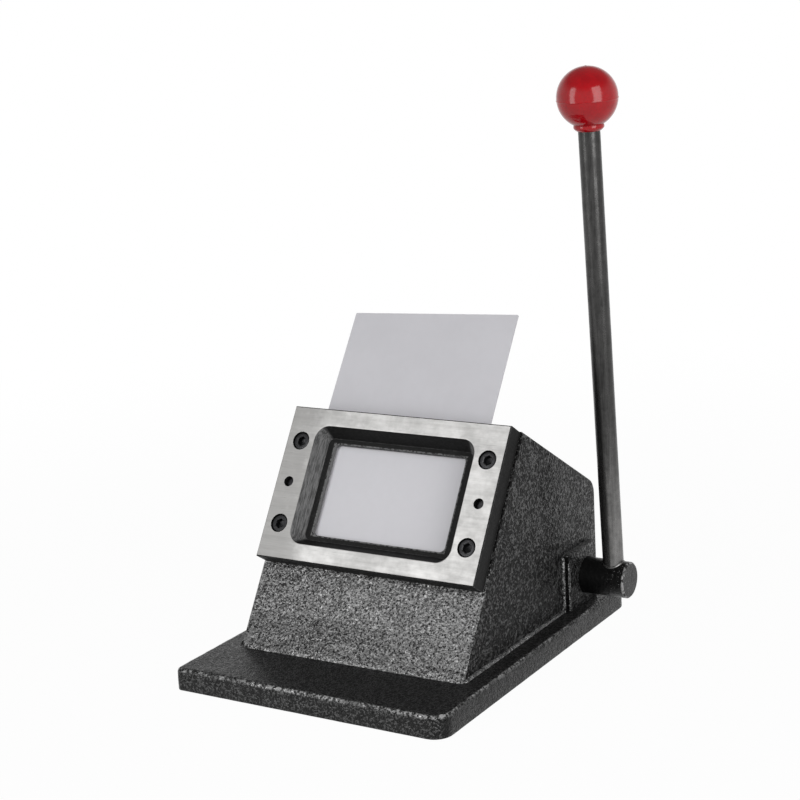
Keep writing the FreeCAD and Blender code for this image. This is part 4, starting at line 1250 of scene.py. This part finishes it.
    def welds(self) -> Shape:
        """Build the beads between housing and base, and up the bosses' front edges.

        Returns:
            All the beads.
        """
        foot_y = DIE_CENTRE.y + (self.base_top - DIE_CENTRE.z) * math.tan(DIE_LEAN)
        low, small, rim, x = self.side_weld_leg, self.boss_weld_leg, self.boss_edge, self.side_face
        corner = Vector((x, foot_y, self.base_top))
        front = Bead(Vector((self.front_weld_inset - x, foot_y, self.base_top)), corner, BACK * -self.weld_leg,
                     DIE_UP * self.front_rise, far_share=0.5, outline=self.skirt)
        side = Bead(corner, Vector((x, self.boss_front, self.base_top)), ACROSS * low, UP * low, pitch=1.3 * MM)
        outer = Vector((self.boss_face - rim * 0.8, self.boss_front + rim * 0.8, 0.0))
        inner = Vector((x, self.boss_front, 0.0))
        upright = [Bead(at + UP * (self.base_top + start), at + UP * (self.boss_top - drop), ACROSS * width,
                        BACK * -width, pitch=1.4 * MM, relief=2.2)
                   for at, start, drop, width in ((inner, low * 0.5, self.boss_weld_end, small),
                                                  (outer, 0.0, self.boss_crown, rim))]
        shapes = [front.shape()]
        for bead in (side, *upright):
            shape = bead.shape()
            shapes += [mirrored(shape), shape]
        return joined(shapes)


# ---------------------------------------------------------------- die set
@dataclass
class CapScrew:
    """Socket head screw with a knurled head, sunk in a counterbore."""

    head_radius: float = 5.0 * MM
    head_height: float = 6.0 * MM
    top_round: float = 0.55 * MM
    hex_flats: float = 5.0 * MM
    hex_depth: float = 3.2 * MM
    hex_lead: float = 0.35 * MM
    lead_depth: float = 0.30 * MM
    drill_radius: float = 2.1 * MM
    drill_depth: float = 4.2 * MM
    drill_end: float = 0.3 * MM
    knurl_teeth: int = 36
    knurl_depth: float = 0.22 * MM
    knurl_from: float = 0.3 * MM
    knurl_to: float = 4.7 * MM
    collar: float = 0.1 * MM
    gap: float = 0.02 * MM
    shank_radius: float = 3.0 * MM
    shank_tip: float = 2.4 * MM
    tip_bevel: float = 0.6 * MM

    def hex_ring(self, centre: Vector, grow: float) -> list[Vector]:
        """Give points at even angles round a hexagon in the die's plane.

        Args:
            centre: The hexagon's centre.
            grow: How much wider than the key it is.

        Returns:
            The points, as many as the knurling needs.
        """
        points = []
        for a in full_turn(self.knurl_teeth * 2):
            local = (a + math.pi / 6) % (math.pi / 3) - math.pi / 6
            points.append(polar(centre, ACROSS, DIE_UP, (self.hex_flats / 2 + grow) / math.cos(local), a))
        return points

    def round_ring(self, centre: Vector, radius: float, teeth: float = 0.0) -> list[Vector]:
        """Give as many points round a circle in that plane, every second one pulled in by the teeth's depth."""
        turns = full_turn(self.knurl_teeth * 2)
        return [polar(centre, ACROSS, DIE_UP, radius - teeth * (i % 2), a) for i, a in enumerate(turns)]

    def shape(self, seat: Vector, tip: float) -> Shape:
        """Build one screw.

        Args:
            seat: The point on its axis where the head sits.
            tip: How far the shank reaches below that point.

        Returns:
            The screw.
        """
        top, head, shank, knurl = self.head_height, self.head_radius, self.shank_radius, self.knurl_depth
        profile = [(-tip, self.shank_tip, 0.0), (self.tip_bevel - tip, shank, 0.0), (0.0, shank, 0.0),
                   (0.0, head - self.knurl_from, 0.0), (self.knurl_from, head, knurl),
                   (self.knurl_to, head, knurl)]
        profile += [(top - self.gap - drop, head - self.collar - inset, 0.0)
                    for inset, drop in quarter_round(self.top_round, 5)]
        rings = [self.round_ring(seat + DIE_OUT * height, *size) for height, *size in profile]
        for depth, grow in ((self.gap, self.hex_lead), (self.lead_depth, 0.0), (self.hex_depth, 0.0)):
            rings.append(self.hex_ring(seat + DIE_OUT * (top - depth), grow))
        for depth, radius in ((self.hex_depth, self.drill_radius), (self.drill_depth, self.drill_end)):
            rings.append(self.round_ring(seat + DIE_OUT * (top - depth), radius))
        return loft(rings)


@dataclass
class DieSet:
    """What shows on the die plate."""

    screw_x: float = 60.35 * MM
    screw_up: float = 24.5 * MM
    under_head: float = 4.7 * MM
    screw_tip: float = 16.1 * MM

    def build(self) -> None:
        """Build and dress the screws."""
        seats = [DIE_CENTRE + ACROSS * (sx * self.screw_x) + DIE_UP * (sy * self.screw_up)
                 for sx in (-1, 1) for sy in (-1, 1)]
        screws = [CapScrew().shape(seat + DIE_OUT * self.under_head, self.screw_tip) for seat in seats]
        settle(piece("die_cap_screws", joined(screws), 38.0), Body.FRAME, Slot.BLACK_OXIDE, "die_screws")


@dataclass
class ReturnSprings:
    """The four coils that push the ram back, which shorten as it comes forward."""

    free_length: float = 22.0 * MM
    ram_travel: float = 9.91 * MM

    def build(self) -> None:
        """Build the coils."""
        coils = settle(piece("return_coils", eased("return_springs"), 50.0), Body.FRAME, Slot.SPRING_STEEL,
                       "return_springs")
        front = max((v.co for v in coils.data.vertices), key=lambda point: point.dot(DIE_OUT))
        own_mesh(coils)


# ---------------------------------------------------------------- lever
@dataclass
class Lever:
    """The knob and the weld at the rod's foot."""

    rod_x: float = 92.8 * MM
    rod_radius: float = 6.0 * MM
    shaft_radius: float = 10.5 * MM
    knob_distance: float = 275.5 * MM
    knob_radius: float = 16.8 * MM
    knob_sides: int = 96
    ball_steps: int = 60
    ridge: float = 0.22 * MM
    ridge_width: float = 0.30 * MM
    ridge_drop: float = 1.0 * MM
    neck_radius: float = 8.3 * MM
    neck_length: float = 1.0 * MM
    neck_taper: float = 1.6 * MM
    bore_radius: float = 6.5 * MM
    bore_length: float = 24.0 * MM
    weld_rim: float = 0.5 * MM
    weld_height: float = 0.9 * MM
    weld_depth: float = 0.6 * MM
    weld_inset: float = 0.3 * MM
    weld_ripples: int = 15
    weld_steps: int = 180
    weld_section: int = 9

    def build(self) -> None:
        """Build and dress the knob and the weld."""
        origin = Vector((self.rod_x, SHAFT_AXIS.y, SHAFT_AXIS.z))
        settle(piece("ball_grip", self.knob(origin), 50.0), Body.LEVER, Slot.PHENOLIC, "ball_knob")
        # The bead takes the bar's steel, which is lightened low down: painted light.
        settle(piece("foot_bead", self.foot_weld(origin), 70.0), Body.LEVER, Slot.SHAFT_PAINT, "lever_weld",
               LEVER_STEEL)

    def knob(self, origin: Vector) -> Shape:
        """Build the moulded ball, with a parting ridge, a soft neck and a hole for its insert.

        Args:
            origin: Where the rod's axis meets the shaft's.

        Returns:
            The ball with its neck, and its bore closed at the inner end.
        """
        ball = self.knob_radius - self.ridge
        low = -self.knob_radius - self.neck_length
        meet = -math.sqrt(ball ** 2 - (self.neck_radius - 0.2 * MM) ** 2)
        bore, neck, taper = self.bore_radius, self.neck_radius, self.neck_taper
        foot = neck - taper
        inner = [(bore, low + self.bore_length), (bore, low + 0.3 * MM), (bore + 0.1 * MM, low)]
        outer = [(foot, low + 0.02 * MM), (foot + taper * 0.5, low + taper * 0.42),
                 (foot + taper * 0.9, low + taper * 0.85), (neck, low + taper + 0.15 * MM),
                 (neck, meet - 0.55 * MM), (neck - 0.12 * MM, meet - 0.25 * MM)]
        start = math.asin(meet / ball)
        seam = -self.ridge_drop / ball
        turns = [start + (math.pi / 2 - 0.02 - start) * i / self.ball_steps for i in range(self.ball_steps + 1)]
        turns += [seam + s * MM / ball for s in (-0.5, -0.3, -0.15, 0.0, 0.15, 0.3, 0.5)]
        for a in turns:
            rise = math.exp(-((a - seam) * ball / self.ridge_width) ** 2) * self.ridge
            outer.append(((ball + rise) * math.cos(a), (ball + rise) * math.sin(a)))
        outer.sort(key=lambda point: point[1])
        outer[-1] = (0.05 * MM, self.knob_radius)
        centre = origin + ROD_UP * self.knob_distance
        side = ROD_UP.orthogonal().normalized()
        other = ROD_UP.cross(side).normalized()
        return loft([[polar(centre + ROD_UP * h, side, other, r, a) for a in full_turn(self.knob_sides)]
                     for r, h in inner + outer])

    def foot_weld(self, origin: Vector) -> Shape:
        """Build the rippled bead where the rod enters the shaft.

        Args:
            origin: Where the rod's axis meets the shaft's.

        Returns:
            The bead, closed on itself.
        """
        side = ROD_UP.cross(ACROSS).normalized()
        inner = self.rod_radius - self.weld_inset
        rings = []
        for i, a in enumerate(full_turn(self.weld_steps)):
            ring = []
            for j in range(self.weld_section):
                t = j / (self.weld_section - 1)
                phase = (self.weld_ripples * i / self.weld_steps + 0.35 * math.sin(math.pi * t)) % 1.0
                blot = noise.noise(Vector((math.cos(a) * 2.0, math.sin(a) * 2.0, t)))
                high = math.sin(math.pi * t) * (0.30 + 0.16 * (phase ** 1.5 - 0.5) + 0.12 * blot)
                rho = self.rod_radius + self.weld_rim * ((1 - t) * (1.0 + 0.12 * blot) + high * 0.7)
                rise = self.weld_height * (0.82 * t + 0.55 * high)
                ring.append(polar(origin + ROD_UP * (self.on_shaft(rho, a) + rise), ACROSS, side, rho, a))
            deep = origin + ROD_UP * (self.on_shaft(inner, a) - self.weld_depth)
            ring.append(polar(deep, ACROSS, side, inner, a))
            rings.append(ring)
        return loft(rings, around=True)

    def on_shaft(self, radius: float, angle: float) -> float:
        """Give how far up the rod's axis the shaft's surface lies, at a radius and an angle from it."""
        return math.sqrt(max(0.0, self.shaft_radius ** 2 - (radius * math.sin(angle)) ** 2))


# ---------------------------------------------------------------- studio
@dataclass(frozen=True)
class Softbox:
    """A large soft lamp, placed round the object by its directions."""

    name: str
    azimuth_deg: float
    elevation_deg: float
    distance: float
    width: float
    height: float
    power: float

    def build(self, target: Vector) -> None:
        """Hang the lamp and aim it at a point.

        Args:
            target: The point.
        """
        away = direction(math.radians(self.azimuth_deg), math.radians(self.elevation_deg))
        lamp = bpy.data.lights.new(self.name, "AREA")
        lamp.shape = "RECTANGLE"
        lamp.size, lamp.size_y = self.width, self.height
        lamp.energy = self.power
        thing = bpy.data.objects.new(self.name, lamp)
        thing.location = target + away * self.distance
        thing.rotation_euler = (-away).to_track_quat("-Z", "Y").to_euler()
        thing.visible_camera = False
        bpy.context.scene.collection.objects.link(thing)
        log.info("%s is hung", self.name)


def direction(azimuth: float, elevation: float) -> Vector:
    """Give the direction at an angle round from the front and an angle up."""
    flat = math.cos(elevation)
    return Vector((math.sin(azimuth) * flat, -math.cos(azimuth) * flat, math.sin(elevation)))


@dataclass
class Studio:
    """Floor, backdrop, lamps and camera."""

    camera_at: Point = (515.81 * MM, -819.35 * MM, 370.96 * MM)
    yaw_deg: float = 32.15
    pitch_deg: float = 13.21
    roll_deg: float = -3.21
    lens: float = 80.92
    sensor: float = 36.0
    clip: tuple[float, float] = (0.02, 100.0)
    floor_half: float = 30.0
    floor_steps: int = 12
    floor_level: float = -0.05 * MM
    floor_colour: Rgb = (0.55, 0.55, 0.55)
    white: Rgb = (1.0, 1.0, 1.0)
    ambient: float = 0.30
    ceiling: float = 0.15
    target: Vector = field(default_factory=lambda: Vector((0.02, 0.0, 0.10)))
    lamps: tuple[Softbox, ...] = (
        Softbox("left_softbox", azimuth_deg=-30.2, elevation_deg=21.3, distance=0.916,
                width=0.34, height=0.85, power=4.0),
        Softbox("right_softbox", azimuth_deg=68.6, elevation_deg=19.3, distance=1.04,
                width=0.55, height=1.0, power=7.9),
    )

    def build(self) -> None:
        """Build the floor, the backdrop and the lamps."""
        self.floor()
        self.backdrop()
        for lamp in self.lamps:
            lamp.build(self.target)

    @staticmethod
    def rays(graph: Graph) -> tuple[Socket, Socket]:
        """Give 1 for the camera's own rays, and 1 for mirror and glass rays."""
        path = graph.add("LightPath").outputs
        return path["Is Camera Ray"], graph.larger(path["Is Glossy Ray"], path["Is Transmission Ray"])

    def floor(self) -> None:
        """Lay a pale floor that keeps a faint shadow."""
        shape = bmesh.new()
        marks = [self.floor_half * (2 * i / self.floor_steps - 1) for i in range(self.floor_steps + 1)]
        rows = [[shape.verts.new((x, y, self.floor_level)) for x in marks] for y in marks]
        for near, far in zip(rows, rows[1:]):
            for i in range(self.floor_steps):
                shape.faces.new((near[i], near[i + 1], far[i + 1], far[i]))
        floor = piece("studio_floor", shape)
        made = bpy.data.materials.new("pale_floor")
        graph = emptied(made)
        plain = graph.add("BsdfDiffuse", {"Color": self.floor_colour})
        white = graph.add("Emission", {"Color": self.white, "Strength": 1.0})
        seen = graph.larger(*self.rays(graph))
        share = graph.times(seen, graph.spread(graph.length(graph.place()), 0.25, 0.9, 0.97, 1.0))
        mixed = graph.add("MixShader", {0: share, 1: plain.outputs[0], 2: white.outputs[0]})
        graph.add("OutputMaterial", {0: mixed.outputs[0]})
        floor.data.materials.append(made)

    def backdrop(self) -> None:
        """Surround the scene with white where it is looked at, and with soft grey light elsewhere."""
        world = bpy.data.worlds.new("studio_world")
        graph = emptied(world)
        camera, mirror = self.rays(graph)
        up = graph.along(graph.add("TexCoord").outputs["Generated"], "Z")
        high = graph.spread(up, 0.25, 0.75, 1.0, self.ceiling)
        strength = graph.larger(graph.larger(self.ambient, graph.times(mirror, high)), camera)
        light = graph.add("Background", {"Color": self.white, "Strength": strength})
        graph.add("OutputWorld", {0: light.outputs[0]})
        bpy.context.scene.world = world

    def shoot(self) -> None:
        """Place the camera."""
        yaw, pitch, roll = (math.radians(x) for x in (self.yaw_deg, self.pitch_deg, self.roll_deg))
        back = direction(yaw, pitch)
        right = Vector((math.cos(yaw), math.sin(yaw), 0.0))
        up = back.cross(right)
        turned_right = right * math.cos(roll) + up * math.sin(roll)
        turned_up = up * math.cos(roll) - right * math.sin(roll)
        lens = bpy.data.cameras.new("studio_camera")
        lens.lens, lens.sensor_width = self.lens, self.sensor
        lens.clip_start, lens.clip_end = self.clip
        camera = bpy.data.objects.new("studio_camera", lens)
        columns = Matrix((turned_right, turned_up, back)).transposed().to_4x4()
        camera.matrix_world = Matrix.Translation(Vector(self.camera_at)) @ columns
        scene = bpy.context.scene
        scene.collection.objects.link(camera)
        scene.camera = camera
        scene.view_settings.view_transform = "Standard"


def main() -> None:
    """Build the whole scene."""
    studio = Studio()
    studio.build()
    dress_solids()
    for group in (Housing(), DieSet(), ReturnSprings(), Lever()):
        group.build()
    studio.shoot()


if __name__ == "__main__":
    logging.basicConfig(level=logging.INFO, format="%(name)s: %(message)s")
    main()
